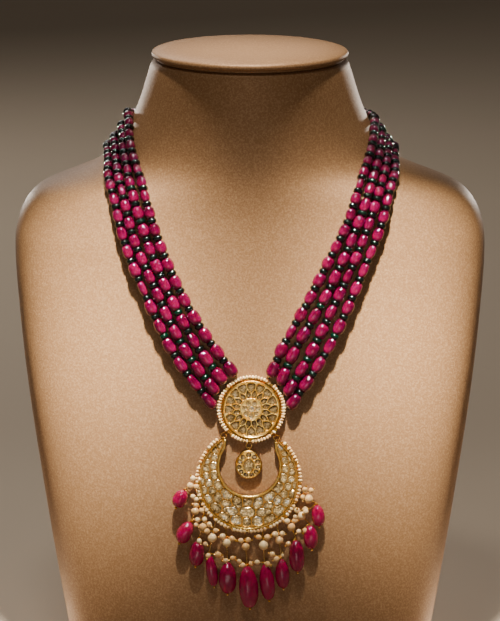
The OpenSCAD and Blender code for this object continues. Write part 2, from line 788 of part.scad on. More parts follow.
module drop_wires() {
  color(gold) on_chest()
    for (d = drops) {
      rod(wire_foot(d), drop_top(d), drop_wire_r);
      translate(drop_top(d)) sphere(drop_knot_r, $fn = 20);
      rod(drop_top(d), drop_tip(d), drop_wire_r);
      translate(drop_tip(d)) sphere(drop_ball_r, $fn = 24);
    }
}

module drop_pearls() {
  color(pearl) on_chest()
    for (d = drops)
      along(pearl_mid(d), drop_top(d) - wire_foot(d))
        difference() {
          sphere(d[DROP_PEARL_R], $fn = 40);
          cylinder(3 * d[DROP_PEARL_R], r = drop_bore_r, center = true, $fn = 24);
        }
}

// A drop of ruby, pointed at the top, round at the bottom and drilled along its length.
module ruby_drop(d) {
  steps = 16;
  rise = 0.5;
  fall = 0.4;
  fullest = rise / (rise + fall);
  flat_r = drop_bore_r + 0.25;
  color(ruby) on_chest()
    along(drop_mid(d), drop_dir(d))
      rotate_extrude($fn = 48)
        polygon(concat(
          [[drop_bore_r, -d[DROP_LEN] / 2], [drop_bore_r, d[DROP_LEN] / 2]],
          [for (i = [0:steps])
            let(t = (1 + cos(180 * i / steps)) / 2)
            [max(flat_r, d[DROP_W] / 2 * (t / fullest) ^ rise
              * ((1 - t) / (1 - fullest)) ^ fall), d[DROP_LEN] * (t - 0.5)]]
        ));
}

bust();
bust_cap();
clasp();
bead_string(-1, 0);  // string_left_1
bead_string(-1, 1);  // string_left_2
bead_string(-1, 2);  // string_left_3
bead_string(-1, 3);  // string_left_4
bead_string(1, 0);  // string_right_1
bead_string(1, 1);  // string_right_2
bead_string(1, 2);  // string_right_3
bead_string(1, 3);  // string_right_4
thread(-1, 0);  // thread_left_1
thread(-1, 1);  // thread_left_2
thread(-1, 2);  // thread_left_3
thread(-1, 3);  // thread_left_4
thread(1, 0);  // thread_right_1
thread(1, 1);  // thread_right_2
thread(1, 2);  // thread_right_3
thread(1, 3);  // thread_right_4
back_string(-1, 0);  // back_string_left_1
back_string(-1, 1);  // back_string_left_2
back_string(-1, 2);  // back_string_left_3
back_string(-1, 3);  // back_string_left_4
back_string(1, 0);  // back_string_right_1
back_string(1, 1);  // back_string_right_2
back_string(1, 2);  // back_string_right_3
back_string(1, 3);  // back_string_right_4
medallion();
medallion_stones();
medallion_pearl_rim();
crescent();
crescent_stones();
crescent_pearl_rim();
pear_drop();
pear_stone();
jump_ring(ring_middles[0]);  // jump_ring_left
jump_ring(ring_middles[1]);  // jump_ring_right
jump_ring(ring_middles[2]);  // pear_ring
drop_wires();
drop_pearls();
ruby_drop(drops[0]);  // ruby_drop_1
ruby_drop(drops[1]);  // ruby_drop_2
ruby_drop(drops[2]);  // ruby_drop_3
ruby_drop(drops[3]);  // ruby_drop_4
ruby_drop(drops[4]);  // ruby_drop_5
ruby_drop(drops[5]);  // ruby_drop_6
ruby_drop(drops[6]);  // ruby_drop_7
ruby_drop(drops[7]);  // ruby_drop_8
ruby_drop(drops[8]);  // ruby_drop_9
ruby_drop(drops[9]);  // ruby_drop_10
ruby_drop(drops[10]);  // ruby_drop_11
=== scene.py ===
"""Dresses a polki bead pendant necklace, and the neck bust that wears it.

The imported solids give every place. The beads, settings, pearls, wires, drops and the
bust's cover are modelled over them, in metres, in the same frame.
"""
import math
from random import Random

import bmesh
import bpy
from mathutils import Matrix, Quaternion, Vector, kdtree


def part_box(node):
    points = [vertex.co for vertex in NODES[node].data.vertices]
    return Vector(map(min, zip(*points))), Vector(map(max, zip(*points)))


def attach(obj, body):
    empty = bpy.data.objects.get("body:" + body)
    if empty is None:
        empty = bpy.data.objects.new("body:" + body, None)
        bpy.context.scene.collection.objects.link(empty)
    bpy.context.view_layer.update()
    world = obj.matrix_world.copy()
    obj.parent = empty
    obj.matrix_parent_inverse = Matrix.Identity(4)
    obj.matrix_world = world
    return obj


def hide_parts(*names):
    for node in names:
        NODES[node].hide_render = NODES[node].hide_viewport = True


bl_info = {
    "name": "Polki Pendant Necklace",
    "version": (1, 0, 0),
    "blender": (4, 5, 0),
    "location": "3D View > Sidebar > Necklace",
    "description": "Models a ruby bead necklace with a polki pendant on a neck bust",
    "category": "Object",
}

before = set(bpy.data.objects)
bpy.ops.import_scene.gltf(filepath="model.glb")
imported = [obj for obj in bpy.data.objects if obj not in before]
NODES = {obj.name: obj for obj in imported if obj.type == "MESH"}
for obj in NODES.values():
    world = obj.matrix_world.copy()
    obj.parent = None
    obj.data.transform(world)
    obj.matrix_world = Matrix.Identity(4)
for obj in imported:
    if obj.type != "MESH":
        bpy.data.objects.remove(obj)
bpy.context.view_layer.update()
MM = 0.001

# The pendant's own frame, in millimetres: x to the right, y up the chest, z out of it,
# with the middle of the medallion's back at (0.6, 0, 0).
CHEST_LEAN = 9.0
CHEST = (
    Matrix.Translation((0, -68.4 * MM, 0))
    @ Matrix.Rotation(math.radians(90 - CHEST_LEAN), 4, "X")
    @ Matrix.Translation((0, 145.9 * MM, 0.5 * MM))
    @ Matrix.Scale(MM, 4)
)
MEDALLION_X = 0.6
CRESCENT_AT = (-0.6, -32.6)
CRESCENT_TURN = -2.6
PEAR_AT = (-0.6, -25.2)
RING_NODES = ("jump_ring_left", "jump_ring_right", "pear_ring")
JUMP_RING_R = 1.3

# Gold, in millimetres: the foot's thickness, the walls' height and the pockets' floor. A
# stone is cut to a share of its pocket's width and sunk a little under the walls.
PLATE_T = 0.9
WALL_TOP = 2.8
POCKET_FLOOR = 1.7
PEAR_TOP = 2.4
PEAR_FLOOR = 1.6
STONE_FIT = 0.98
STONE_SUNK = 0.32
LUG_R = 0.62
LUG_THICKNESS = 0.36

# Medallion, in millimetres: its disc, the field of stones from an inner to an outer
# radius, the leaves and the buds between them, and its rim.
MEDALLION_R = 15.0
FIELD = (5.1, 12.25)
LEAVES = 16
LEAVES_R = 9.95
BUDS_R = 7.0
MEDALLION_WIRE_R = 14.66
MEDALLION_PEARLS_R = 14.75
MEDALLION_PEARLS_Z = 2.15
MIDDLE_FLOOR = 1.9

# Crescent, in millimetres, from its own middle: its field, foot, pearls and opening, which
# is round up to a share of its radius, and the horns' gap to each side and height.
CRESCENT_R = 22.4
CRESCENT_FOOT_R = 23.6
CRESCENT_PEARLS_R = 23.55
CRESCENT_PEARLS_Z = 2.3
OPENING_R = 13.6
OPENING_Y = 6.6
OPENING_SHARE = 0.55
HORN_GAP = 10.9
HORN_TOP = 18.2

# Pear drop, in millimetres: half its height, and its middle stone's place and outline.
PEAR_HALF = 6.6
PEAR_STONE_Y = -0.5
PEAR_STONE_Z = 2.2
PEAR_STONE = (1.25, 0.95)

# Fringe, in millimetres: where its pins begin on the crescent, and their radii.
FRINGE_R = 24.77
PIN_R = 0.19
FINE_PIN_R = 0.17

# Strings, in metres: how far a bead's ends are drawn out, and behind the neck the beads'
# distance and width, how far the first one is drawn in, and the tube's corners in a ring.
BEAD_END = 0.0003
BACK_PITCH = 0.0063
BACK_BEAD_W = 0.0039
BACK_START = 0.0006
TUBE_CORNERS = 8

# Clasp, in millimetres: its box, and the distance of the strings that it holds.
CLASP = (10.0, 20.0, 3.2)
CLASP_PITCH = 5

# Camera: its place in metres and how far it looks down, in degrees.
CAMERA_AT = (0, -1.2028, 0.488)
CAMERA_DIP = 14.43

# Colours of the light.
LAMP_TINT = (1.0, 0.95, 0.88)
BEAM_TINT = (1.0, 0.94, 0.85)
BACK_TINT = (1.0, 0.97, 0.94)
SKY_TINT = (1.0, 0.9, 0.8, 1)

# Outline exponents of the stones: at the pointed end, at the other end.
OVAL = (1.0, 1.0)
PEAR = (1.7, 0.85)
MARQUISE = (1.5, 1.5)
CUSHION = (0.7, 0.7)

# Stones of the crescent on its right half: right, up, length, width, turn, outline.
CRESCENT_PAIRS = [
    (4.6, -10.4, 5.2, 3.1, 58, MARQUISE),
    (9.9, -6.8, 4.8, 4.0, 42, PEAR),
    (13.6, -2.7, 4.2, 3.6, 62, PEAR),
    (15.8, 1.8, 3.6, 3.1, 80, PEAR),
    (16.5, 6.0, 3.2, 2.6, 92, PEAR),
    (16.4, 9.9, 2.9, 2.1, 98, PEAR),
    (15.8, 13.2, 2.4, 1.5, 104, PEAR),
    (7.6, -14.4, 6.2, 3.5, 10, MARQUISE),
    (9.9, -11.2, 5.0, 2.4, 26, MARQUISE),
    (13.6, -8.6, 4.5, 3.3, 46, OVAL),
    (16.5, -5.6, 3.6, 3.1, 58, PEAR),
    (18.2, -2.2, 3.2, 2.6, 72, OVAL),
    (19.1, 1.2, 2.9, 2.3, 84, OVAL),
    (19.3, 4.5, 2.7, 2.0, 92, OVAL),
    (19.1, 7.6, 2.4, 1.7, 98, OVAL),
    (18.3, 10.6, 2.2, 1.4, 104, OVAL),
    (4.9, -18.6, 4.2, 3.2, 14, OVAL),
    (10.2, -17.3, 4.9, 2.7, 30, CUSHION),
    (14.3, -13.3, 4.3, 3.3, 43, CUSHION),
    (17.8, -9.3, 3.7, 3.0, 60, OVAL),
    (19.9, -5.3, 3.1, 2.3, 70, OVAL),
    (21.0, -1.4, 2.5, 1.7, 84, OVAL),
    (14.0, 15.9, 3.4, 0.8, 116, MARQUISE),
]

# Stones on the crescent's middle line, in the same order.
CRESCENT_MIDDLE = [
    (0, -10.0, 3.8, 3.4, 90, PEAR),
    (0, -14.5, 6.3, 4.2, 0, OVAL),
    (0, -19.1, 3.1, 2.9, 90, PEAR),
]

# Small stones round the pear drop's middle stone: right, up, turn.
PEAR_CHIPS = [
    (0.0, 4.2, 90), (2.5, 3.1, 52), (-2.5, 3.1, 128), (4.1, 1.2, 14), (-4.1, 1.2, 166),
    (4.5, -1.3, -14), (-4.5, -1.3, 194), (3.6, -3.6, -46), (-3.6, -3.6, 226),
    (1.4, -5.0, -76), (-1.4, -5.0, 256),
]

# Ruby drops from left to right: the wire's foot in degrees, the large pearl's share of the
# wire and radius, and the drop's middle, width, length, lean and lift.
DROPS = [
    (-86, 0.42, 1.8, -31.7, -40.6, 6.8, 8.6, -26, 0.4),
    (-66, 0.50, 1.9, -29.6, -56.2, 7.0, 10.6, -28, 0.4),
    (-50, 0.50, 1.9, -24.2, -66.0, 7.0, 11.6, -6, 0.0),
    (-38, 0.50, 2.2, -17.5, -74.0, 5.2, 14.6, 9, 0.6),
    (-25, 0.44, 2.0, -10.2, -77.2, 8.0, 14.4, 0, 0.0),
    (-4, 0.42, 1.9, -0.7, -81.3, 8.8, 19.2, 4, 0.3),
    (15, 0.44, 2.3, 7.7, -79.2, 7.0, 16.6, 7, 0.0),
    (32, 0.46, 2.0, 14.8, -75.4, 6.6, 13.6, 4, 0.0),
    (46, 0.46, 1.9, 21.3, -67.0, 7.2, 14.6, 3, 0.8),
    (58, 0.48, 2.0, 27.6, -58.4, 6.8, 10.8, 5, 0.0),
    (74, 0.50, 2.1, 31.0, -48.6, 6.0, 9.8, 6, 0.0),
]

# Small pearls round each large one: right, up and radius. The low ones hang from the drop.
CLUSTERS = [
    [(1.0, 3.5, 1.4), (4.0, 3.0, 1.2), (2.6, -0.4, 1.4), (-4.2, -3.4, 1.3), (1.0, -4.1, 1.3)],
    [(0.5, 5.5, 1.2), (0.4, 2.9, 1.4), (3.0, 0.4, 1.3), (-4.2, -6.3, 1.3), (0.4, -5.4, 1.2)],
    [(-2.5, 3.4, 1.3), (0.8, 3.4, 1.3), (3.0, 1.2, 1.3), (-1.6, -5.4, 1.3), (1.2, -7.0, 1.1)],
    [(-2.4, 3.2, 1.5), (1.6, 3.4, 1.2), (-1.8, -7.2, 1.3), (2.6, -6.5, 1.6)],
    [(-1.8, 3.0, 1.5), (2.6, 1.8, 1.5), (-2.3, -5.8, 1.1), (-0.4, -7.2, 1.3), (2.7, -6.3, 1.2)],
    [(-2.2, 2.8, 1.3), (1.1, 3.0, 1.4), (-3.0, -5.8, 1.1), (-1.3, -7.6, 1.3), (2.3, -7.2, 1.3)],
    [(-2.2, 3.9, 1.4), (1.8, 3.7, 1.6), (-2.9, -6.8, 1.3), (1.8, -7.4, 1.4)],
    [(-1.9, 2.9, 1.5), (1.4, 3.0, 1.4), (-3.2, -5.4, 1.3), (-1.2, -7.6, 1.4), (1.2, -6.2, 1.0)],
    [(-2.0, 2.7, 1.4), (1.6, 2.9, 1.4), (-1.4, -6.8, 1.3), (2.4, -6.9, 1.4)],
    [(-2.2, 2.6, 1.4), (1.6, 3.0, 1.3), (-2.9, -0.4, 1.2), (1.5, -5.7, 1.3), (-1.3, -6.4, 1.3)],
    [(-1.8, 4.6, 1.3), (1.0, 4.0, 1.3), (-2.8, 0.9, 1.3), (-1.4, -4.7, 1.3), (3.6, -4.6, 1.3)],
]


# Property groups

def colour(name, text, value):
    return bpy.props.FloatVectorProperty(
        name=name, description=text, subtype="COLOR", size=3, min=0, max=1, default=value)


def length(name, text, value):
    return bpy.props.FloatProperty(
        name=name, description=text, unit="LENGTH", default=value, min=0)


class BustSettings(bpy.types.PropertyGroup):
    """Cover of the bust"""
    cover: colour("Cover", "Main colour of the leather", (0.41, 0.225, 0.102))
    cover_deep: colour("Cover, deep", "Colour of the leather in its grain", (0.29, 0.145, 0.058))
    cover_lit: colour("Cover, bright", "Colour of the leather's worn crests", (0.51, 0.30, 0.145))
    grain: length("Grain", "Depth of the leather's grain", 0.00011)
    pad_drop: length("Pad edge", "How far the cap's padded edge falls", 0.0024)


class BeadSettings(bpy.types.PropertyGroup):
    """Beads of the strings"""
    ruby: colour("Ruby", "Main colour of the beads", (0.095, 0.0, 0.020))
    ruby_deep: colour("Ruby, deep", "Colour of the darkest beads", (0.035, 0.0, 0.008))
    # Also the colour of the painted glow of light passing through one end of each bead.
    ruby_flaw_and_glow: colour("Ruby, bright", "Colour of the beads' bright flaws", (0.27, 0.0, 0.058))
    spacer: colour("Spacer", "Colour of the dark beads between", (0.001, 0.002, 0.0015))
    spacer_w: length("Spacer width", "Diameter of a spacer", 0.0047)
    spacer_gap: length("Spacer room", "Room between two beads", 0.0025)
    drop: colour("Drop", "Main colour of the ruby drops", (0.35, 0.0, 0.055))
    drop_deep: colour("Drop, deep", "Darkest colour of the ruby drops", (0.13, 0.0, 0.02))
    # Also the colour of the painted glow of light passing through each drop's lower end.
    drop_flaw_and_glow: colour("Drop, bright", "Colour of the drops' bright flaws", (0.58, 0.01, 0.12))
    spacer_green: colour("Spacer, green", "Colour of the greenest spacers", (0.0, 0.009, 0.004))
    spacer_cloud: colour("Spacer, cloud", "Colour of the spacers' clouds",
                         (0.001, 0.004, 0.002))
    thread: colour("Thread", "Colour of the thread's hollows", (0.012, 0.008, 0.007))
    thread_lit: colour("Thread, bright", "Colour of the thread's crests", (0.06, 0.03, 0.03))


class PendantSettings(bpy.types.PropertyGroup):
    """Gold, stones and pearls"""
    gold: colour("Gold", "Main colour of the gold", (1.0, 0.55, 0.09))
    gold_pale: colour("Gold, pale", "Colour of the gold's crests", (1.0, 0.72, 0.24))
    # Painted shade: the colour painted into the worked gold's hollows.
    gold_shade: colour("Gold, deep", "Colour of the gold in its hollows", (0.34, 0.12, 0.012))
    polki: colour("Polki", "Colour of the flat-cut stones", (1.0, 0.68, 0.27))
    # Painted dark reflections of the foil, and the painted shadow of the walls on each girdle.
    polki_dark_reflection_and_shadow: colour("Polki, deep", "Colour of their dark facets", (0.15, 0.08, 0.016))
    # Painted glints of the foil.
    polki_glint: colour("Polki, bright", "Colour of their brightest facets", (1.0, 0.94, 0.78))
    pearl: colour("Pearl", "Colour of the pearls", (0.98, 0.70, 0.36))
    pearl_deep: colour("Pearl, deep", "Colour of the pearls' shaded skin", (0.74, 0.42, 0.15))
    pearl_lit: colour("Pearl, bright", "Colour of the pearls' bright rings", (1.0, 0.82, 0.54))
    wall: bpy.props.FloatProperty(
        name="Wall", description="Thickness of the walls round the stones, in mm",
        default=0.36, min=0.1, max=0.5)
    seed_pitch: bpy.props.FloatProperty(
        name="Seed pearls", description="Distance between two seed pearls, in mm",
        default=1.36, min=1.0, max=2.0)


class StageSettings(bpy.types.PropertyGroup):
    """Floor, light and camera"""
    floor: colour("Floor", "Colour of the floor", (0.70, 0.56, 0.41))
    key: bpy.props.FloatProperty(
        name="Key light", description="Strength of the light overhead", unit="POWER",
        default=3)
    beam: bpy.props.FloatProperty(
        name="Beams", description="Strength of the two soft beams in front", unit="POWER",
        default=370)
    fill: bpy.props.FloatProperty(
        name="Fill light", description="Strength of the light behind", unit="POWER",
        default=6)
    rear: bpy.props.FloatProperty(
        name="Rear beams", description="Strength of the two soft beams behind", unit="POWER",
        default=16)
    card: bpy.props.FloatProperty(
        name="Card", description="Strength of the dim light in front that the gold reflects",
        unit="POWER", default=0.6)
    lens: bpy.props.FloatProperty(
        name="Lens", description="Focal length of the camera, in mm", default=153.6)


# Modelling

def clear_selection():
    if bpy.context.mode != "OBJECT":
        bpy.ops.object.mode_set(mode="OBJECT")
    bpy.ops.object.select_all(action="DESELECT")


def pick(piece):
    clear_selection()
    piece.select_set(True)
    bpy.context.view_layer.objects.active = piece


def primitive(kind, name, **settings):
    """A new primitive of the given kind and name."""
    clear_selection()
    getattr(bpy.ops.mesh, f"primitive_{kind}_add")(**settings)
    piece = bpy.context.object
    piece.name = name
    piece.data.name = name
    return piece


class Editing:
    """Edit mode on one piece, with its faces or edges chosen by a test."""

    def __init__(self, piece, kind="FACE"):
        self.piece = piece
        self.kind = kind

    def __enter__(self):
        pick(self.piece)
        bpy.ops.object.mode_set(mode="EDIT")
        bpy.ops.mesh.select_mode(type=self.kind)
        bpy.ops.mesh.select_all(action="SELECT")
        return self

    def __exit__(self, *failure):
        bpy.ops.object.mode_set(mode="OBJECT")

    def choose(self, test):
        """Selects the faces or edges whose middle and self pass the test."""
        bpy.ops.mesh.select_all(action="DESELECT")
        shape = bmesh.from_edit_mesh(self.piece.data)
        parts = shape.faces if self.kind == "FACE" else shape.edges
        for part in parts:
            middle = sum((v.co for v in part.verts), Vector()) / len(part.verts)
            part.select_set(bool(test(middle, part)))
        bmesh.update_edit_mesh(self.piece.data)


def rise(z):
    """Extrudes what is selected along z."""
    bpy.ops.mesh.extrude_region_move(TRANSFORM_OT_translate={"value": (0, 0, z)})


def squeeze(share, middle=(0, 0, 0)):
    """Scales what is selected in x and y."""
    bpy.ops.transform.resize(value=(share, share, 1), center_override=middle)


def applied(piece, kind, **settings):
    """Adds a modifier and applies it."""
    modifier = piece.modifiers.new(kind.title(), kind)
    for key, value in settings.items():
        setattr(modifier, key, value)
    pick(piece)
    bpy.ops.object.modifier_apply(modifier=modifier.name)


def roughened(piece, size, strength, basis="BLENDER_ORIGINAL"):
    """Moves a piece's skin in and out by clouds of the given size."""
    texture = bpy.data.textures.new("clouds", "CLOUDS")
    texture.noise_scale = size
    texture.noise_basis = basis
    applied(piece, "DISPLACE", texture=texture, texture_coords="LOCAL", strength=strength,
            mid_level=0.5)
    bpy.data.textures.remove(texture)


def smooth(piece, degrees=40):
    pick(piece)
    bpy.ops.object.shade_smooth_by_angle(angle=math.radians(degrees))


def outline(long_w, cross_w, shape, sides):
    """Outline of a stone, with its length along x."""
    points = []
    for i in range(sides):
        a = 2 * math.pi * i / sides
        c, s = math.cos(a), math.sin(a)
        power = 1.0 if abs(c) < 1e-3 else shape[0] if c > 0 else shape[1]
        points.append((long_w / 2 * c, cross_w / 2 * math.copysign(abs(s) ** power, s)))
    return points


def flat_face(name, points, z=0.0):
    """A single face with the given outline."""
    piece = primitive("circle", name, vertices=len(points), radius=1, fill_type="NGON")
    flat = [value for x, y in points for value in (x, y, z)]
    piece.data.vertices.foreach_set("co", flat)
    piece.data.update()
    return piece


def close_and_face_out(piece):
    """Closes what is open and turns all faces outwards."""
    with Editing(piece, "EDGE"):
        bpy.ops.mesh.remove_doubles(threshold=1e-6)
        bpy.ops.mesh.select_all(action="DESELECT")
        bpy.ops.mesh.select_non_manifold()
        shape = bmesh.from_edit_mesh(piece.data)
        if any(edge.select for edge in shape.edges):
            bpy.ops.mesh.edge_face_add()
        bpy.ops.mesh.select_all(action="SELECT")
        bpy.ops.mesh.normals_make_consistent(inside=False)


def marked(mesh, tones, along):
    """Notes at each corner point the copy's tone and the height in its template; the height
    places the rubies' painted glow and the polki's painted wall shadow.
    """
    mesh.attributes.new("tone", "FLOAT", "POINT").data.foreach_set("value", tones)
    mesh.attributes.new("along", "FLOAT", "POINT").data.foreach_set("value", along)


def gathered(name, copies, seed=1):
    """One piece made of copies, each a template and the matrix that places it."""
    chance = Random(seed)
    shape = bmesh.new()
    tones, along = [], []
    for template, place in copies:
        first = len(shape.verts)
        shape.from_mesh(template.data)
        shape.verts.ensure_lookup_table()
        fresh = shape.verts[first:]
        bmesh.ops.transform(shape, matrix=place, verts=fresh)
        tones += [chance.random()] * len(fresh)
        along += [vertex.co.z for vertex in template.data.vertices]
    mesh = bpy.data.meshes.new(name)
    shape.to_mesh(mesh)
    shape.free()
    marked(mesh, tones, along)
    piece = bpy.data.objects.new(name, mesh)
    bpy.context.scene.collection.objects.link(piece)
    return piece


def discard(*templates):
    for template in templates:
        mesh = template.data
        bpy.data.objects.remove(template)
        bpy.data.meshes.remove(mesh)


def finished(piece, look, slot, *nodes):
    """Gives a piece its finish and its body, and hides the nodes that it stands for."""
    piece.data.materials.clear()
    piece.data.materials.append(look)
    for face in piece.data.polygons:
        face.material_index = 0
    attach(piece, "root")
    if nodes:
        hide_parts(*nodes)
    return piece


def on_chest(name, copies, seed, look, slot, *nodes):
    """One finished piece of the pendant, gathered in its own frame and laid on the chest."""
    piece = gathered(name, copies, seed)
    piece.data.transform(CHEST)
    return finished(piece, look, slot, *nodes)


def pointing(place, direction, across=None, scale=1):
    """Matrix that stands a template's z along a direction at a place.

    scale is one number, or one for each of the template's axes.
    """
    z = Vector(direction).normalized()
    hint = Vector(across) if across is not None else Vector((0.3, 1, 0.2))
    x = hint - z * hint.dot(z)
    if x.length < 1e-6:
        x = z.orthogonal()
    x.normalize()
    y = z.cross(x)
    turn = Matrix((x, y, z)).transposed().to_4x4()
    sizes = scale if isinstance(scale, tuple) else (scale, scale, scale)
    return Matrix.Translation(place) @ turn @ Matrix.Diagonal((*sizes, 1))


def spot(x, y, z=0.0, turn=0.0):
    """Matrix that lies a template flat at a place, turned about z, in degrees."""
    return Matrix.Translation((x, y, z)) @ Matrix.Rotation(math.radians(turn), 4, "Z")


# Finishes

class Value:
    """A number inside a finish, with arithmetic."""

    def __init__(self, look, socket):
        self.look = look
        self.socket = socket

    def __add__(self, other):
        return self.look.maths("ADD", self, other)

    def __sub__(self, other):
        return self.look.maths("SUBTRACT", self, other)

    def __rsub__(self, other):
        return self.look.maths("SUBTRACT", other, self)

    def __mul__(self, other):
        return self.look.maths("MULTIPLY", self, other)

    __radd__ = __add__
    __rmul__ = __mul__

    def limited(self):
        return self.look.maths("ADD", self, 0.0, clamp=True)


class Look:
    """A finish that is being drawn, node by node."""

    def __init__(self, name):
        self.material = bpy.data.materials.new(name)
        self.material.use_nodes = True
        self.tree = self.material.node_tree
        self.tree.nodes.clear()
        self.output = self.tree.nodes.new("ShaderNodeOutputMaterial")
        self.shader = self.tree.nodes.new("ShaderNodeBsdfPrincipled")
        self.tree.links.new(self.shader.outputs[0], self.output.inputs[0])

    def node(self, kind, settings=None, inputs=None, output=0):
        """Adds a node, makes its settings, then fills or links its sockets."""
        node = self.tree.nodes.new(kind)
        for key, value in (settings or {}).items():
            setattr(node, key, value)
        for key, value in (inputs or {}).items():
            self.feed(node.inputs[key], value)
        return Value(self, node.outputs[output])

    def feed(self, socket, value):
        if isinstance(value, Value):
            self.tree.links.new(value.socket, socket)
        elif socket.type == "RGBA" and len(value) == 3:
            socket.default_value = (*value, 1)
        else:
            socket.default_value = value

    def maths(self, operation, a, b=0.0, clamp=False):
        return self.node("ShaderNodeMath", {"operation": operation, "use_clamp": clamp},
                         {0: a, 1: b})

    def blend(self, factor, a, b):
        """A colour between a and b."""
        return self.node("ShaderNodeMix", {"data_type": "RGBA"}, {0: factor, 6: a, 7: b}, 2)

    def step(self, value, low, high):
        """0 below low, 1 above high, smooth between."""
        return self.node("ShaderNodeMapRange", {"interpolation_type": "SMOOTHSTEP"},
                         {0: value, 1: low, 2: high, 3: 0.0, 4: 1.0})

    def place(self):
        """Place on the piece, in millimetres."""
        spot_on = self.node("ShaderNodeTexCoord", output=3)
        return self.node("ShaderNodeVectorMath", {"operation": "SCALE"},
                         {0: spot_on, 3: 1 / MM})

    def stretched(self, place, x, y, z):
        return self.node("ShaderNodeVectorMath", {"operation": "MULTIPLY"},
                         {0: place, 1: (x, y, z)})

    def outward(self, place):
        """Height above the chest, in millimetres."""
        lean = math.radians(CHEST_LEAN)
        out = Vector((0, -math.cos(lean), math.sin(lean)))
        start = out.dot(CHEST @ Vector((0, 0, 0))) / MM
        along = self.node("ShaderNodeVectorMath", {"operation": "DOT_PRODUCT"},
                          {0: place, 1: out}, 1)
        return along - start

    def noise(self, place, scale, detail=3.0, roughness=0.5, distortion=0.0):
        return self.node("ShaderNodeTexNoise", {},
                         {"Vector": place, "Scale": scale, "Detail": detail,
                          "Roughness": roughness, "Distortion": distortion})

    def cells(self, place, scale, feature="F1", output=0):
        return self.node("ShaderNodeTexVoronoi", {"feature": feature},
                         {"Vector": place, "Scale": scale}, output)

    def mark(self, name):
        """What the corner points note under a name."""
        return self.node("ShaderNodeAttribute", {"attribute_name": name}, output=2)

    def bump(self, height, strength, depth):
        return self.node("ShaderNodeBump", {},
                         {"Height": height, "Strength": strength, "Distance": depth})

    def surface(self, **sockets):
        """Fills the shader's sockets; a name's underscores stand for spaces."""
        for key, value in sockets.items():
            self.feed(self.shader.inputs[key.replace("_", " ")], value)
        return self.material


def leather_look(bust):
    """Champagne leather: satin, with a fine pebbled grain and a soft metallic bloom."""
    look = Look("champagne_leather")
    place = look.place()
    drift = look.noise(place, 0.02, 3)
    pebble = look.cells(look.stretched(place, 1, 1, 0.9), 1.6, "SMOOTH_F1")
    pore = look.noise(place, 5.0, 3, 0.6)
    crease = look.noise(look.stretched(place, 0.5, 0.5, 1.4), 0.5, 5, 0.6)
    height = pebble * 0.6 + pore * 0.35 + crease * 0.5
    mottle = look.noise(place, 1.1, 5, 0.75)
    skin = look.blend(look.step(drift, 0.3, 0.7), bust.cover[:], bust.cover_lit[:])
    skin = look.blend(look.step(height, 0.45, 1.0) * 0.35, bust.cover_deep[:], skin)
    skin = look.blend(look.step(height, 0.35, 0.75) * 0.5 + 0.5, bust.cover_deep[:], skin)
    skin = look.blend(look.step(mottle, 0.46, 0.62) * 0.45, skin, bust.cover_deep[:])
    skin = look.blend((1 - look.step(mottle, 0.38, 0.54)) * 0.55, skin, bust.cover_lit[:])
    return look.surface(
        Base_Color=skin,
        Metallic=look.step(drift, 0.2, 0.8) * 0.1 + 0.2,
        Roughness=look.step(pore, 0.2, 0.8) * 0.1 + 0.46,
        Normal=look.bump(height + mottle * 0.8, 0.6, bust.grain), Specular_IOR_Level=0.45)


def ruby_look(name, main, deep, flaw_and_glow, bright_share, relief):
    """Translucent ruby with silk and bright flaws, darker at one end and brightened at the other,
    the lower end of a drop, by a painted glow of light passing through.

    The last two arguments give the share of the bright colour, in the flaws and in the painted
    glow, and the depth of the uneven skin.
    """
    look = Look(name)
    place = look.place()
    tone = look.mark("tone")
    along = look.mark("along")
    silk = look.noise(place, 0.4, 5, 0.6, 0.6)
    feather = look.noise(look.stretched(place, 1, 1, 0.5), 1.1, 6, 0.7, 1.2)
    fleck = look.cells(place, 1.2)
    body = look.blend(look.step(silk + tone * 0.3, 0.38, 0.85), deep, main)
    # Painted glow: the bright colour is painted over the end where along is low, standing in for
    # light passing through the stone.
    painted_glow = (1 - look.step(along + silk * 0.6, -0.75, 0.75)) * bright_share
    body = look.blend(painted_glow, body, flaw_and_glow)
    body = look.blend(look.step(feather, 0.52, 0.8) * bright_share, body, flaw_and_glow)
    body = look.blend((1 - look.step(fleck, 0.04, 0.18)) * bright_share * 0.8, body, flaw_and_glow)
    return look.surface(
        Base_Color=body,
        Roughness=look.step(feather, 0.4, 0.8) * 0.08 + 0.07,
        Normal=look.bump(silk * 0.6 + feather * 0.3, 0.6, relief),
        IOR=1.5, Subsurface_Weight=0.3, Subsurface_Radius=(1.0, 0.03, 0.15),
        Subsurface_Scale=0.002, Coat_Weight=0.6, Coat_Roughness=0.05, Coat_IOR=1.5)


def spacer_look(beads):
    """Nearly black green glass."""
    look = Look("dark_spacer")
    place = look.place()
    tone = look.mark("tone")
    cloud = look.noise(place, 0.9, 4)
    body = look.blend(look.step(tone, 0.8, 1.0), beads.spacer[:], beads.spacer_green[:])
    body = look.blend(look.step(cloud, 0.5, 0.8) * 0.5, body, beads.spacer_cloud[:])
    return look.surface(
        Base_Color=body, Roughness=look.step(cloud, 0.3, 0.8) * 0.1 + 0.08,
        Normal=look.bump(cloud, 0.2, 0.0001), IOR=1.5, Coat_Weight=0.3,
        Coat_Roughness=0.04)


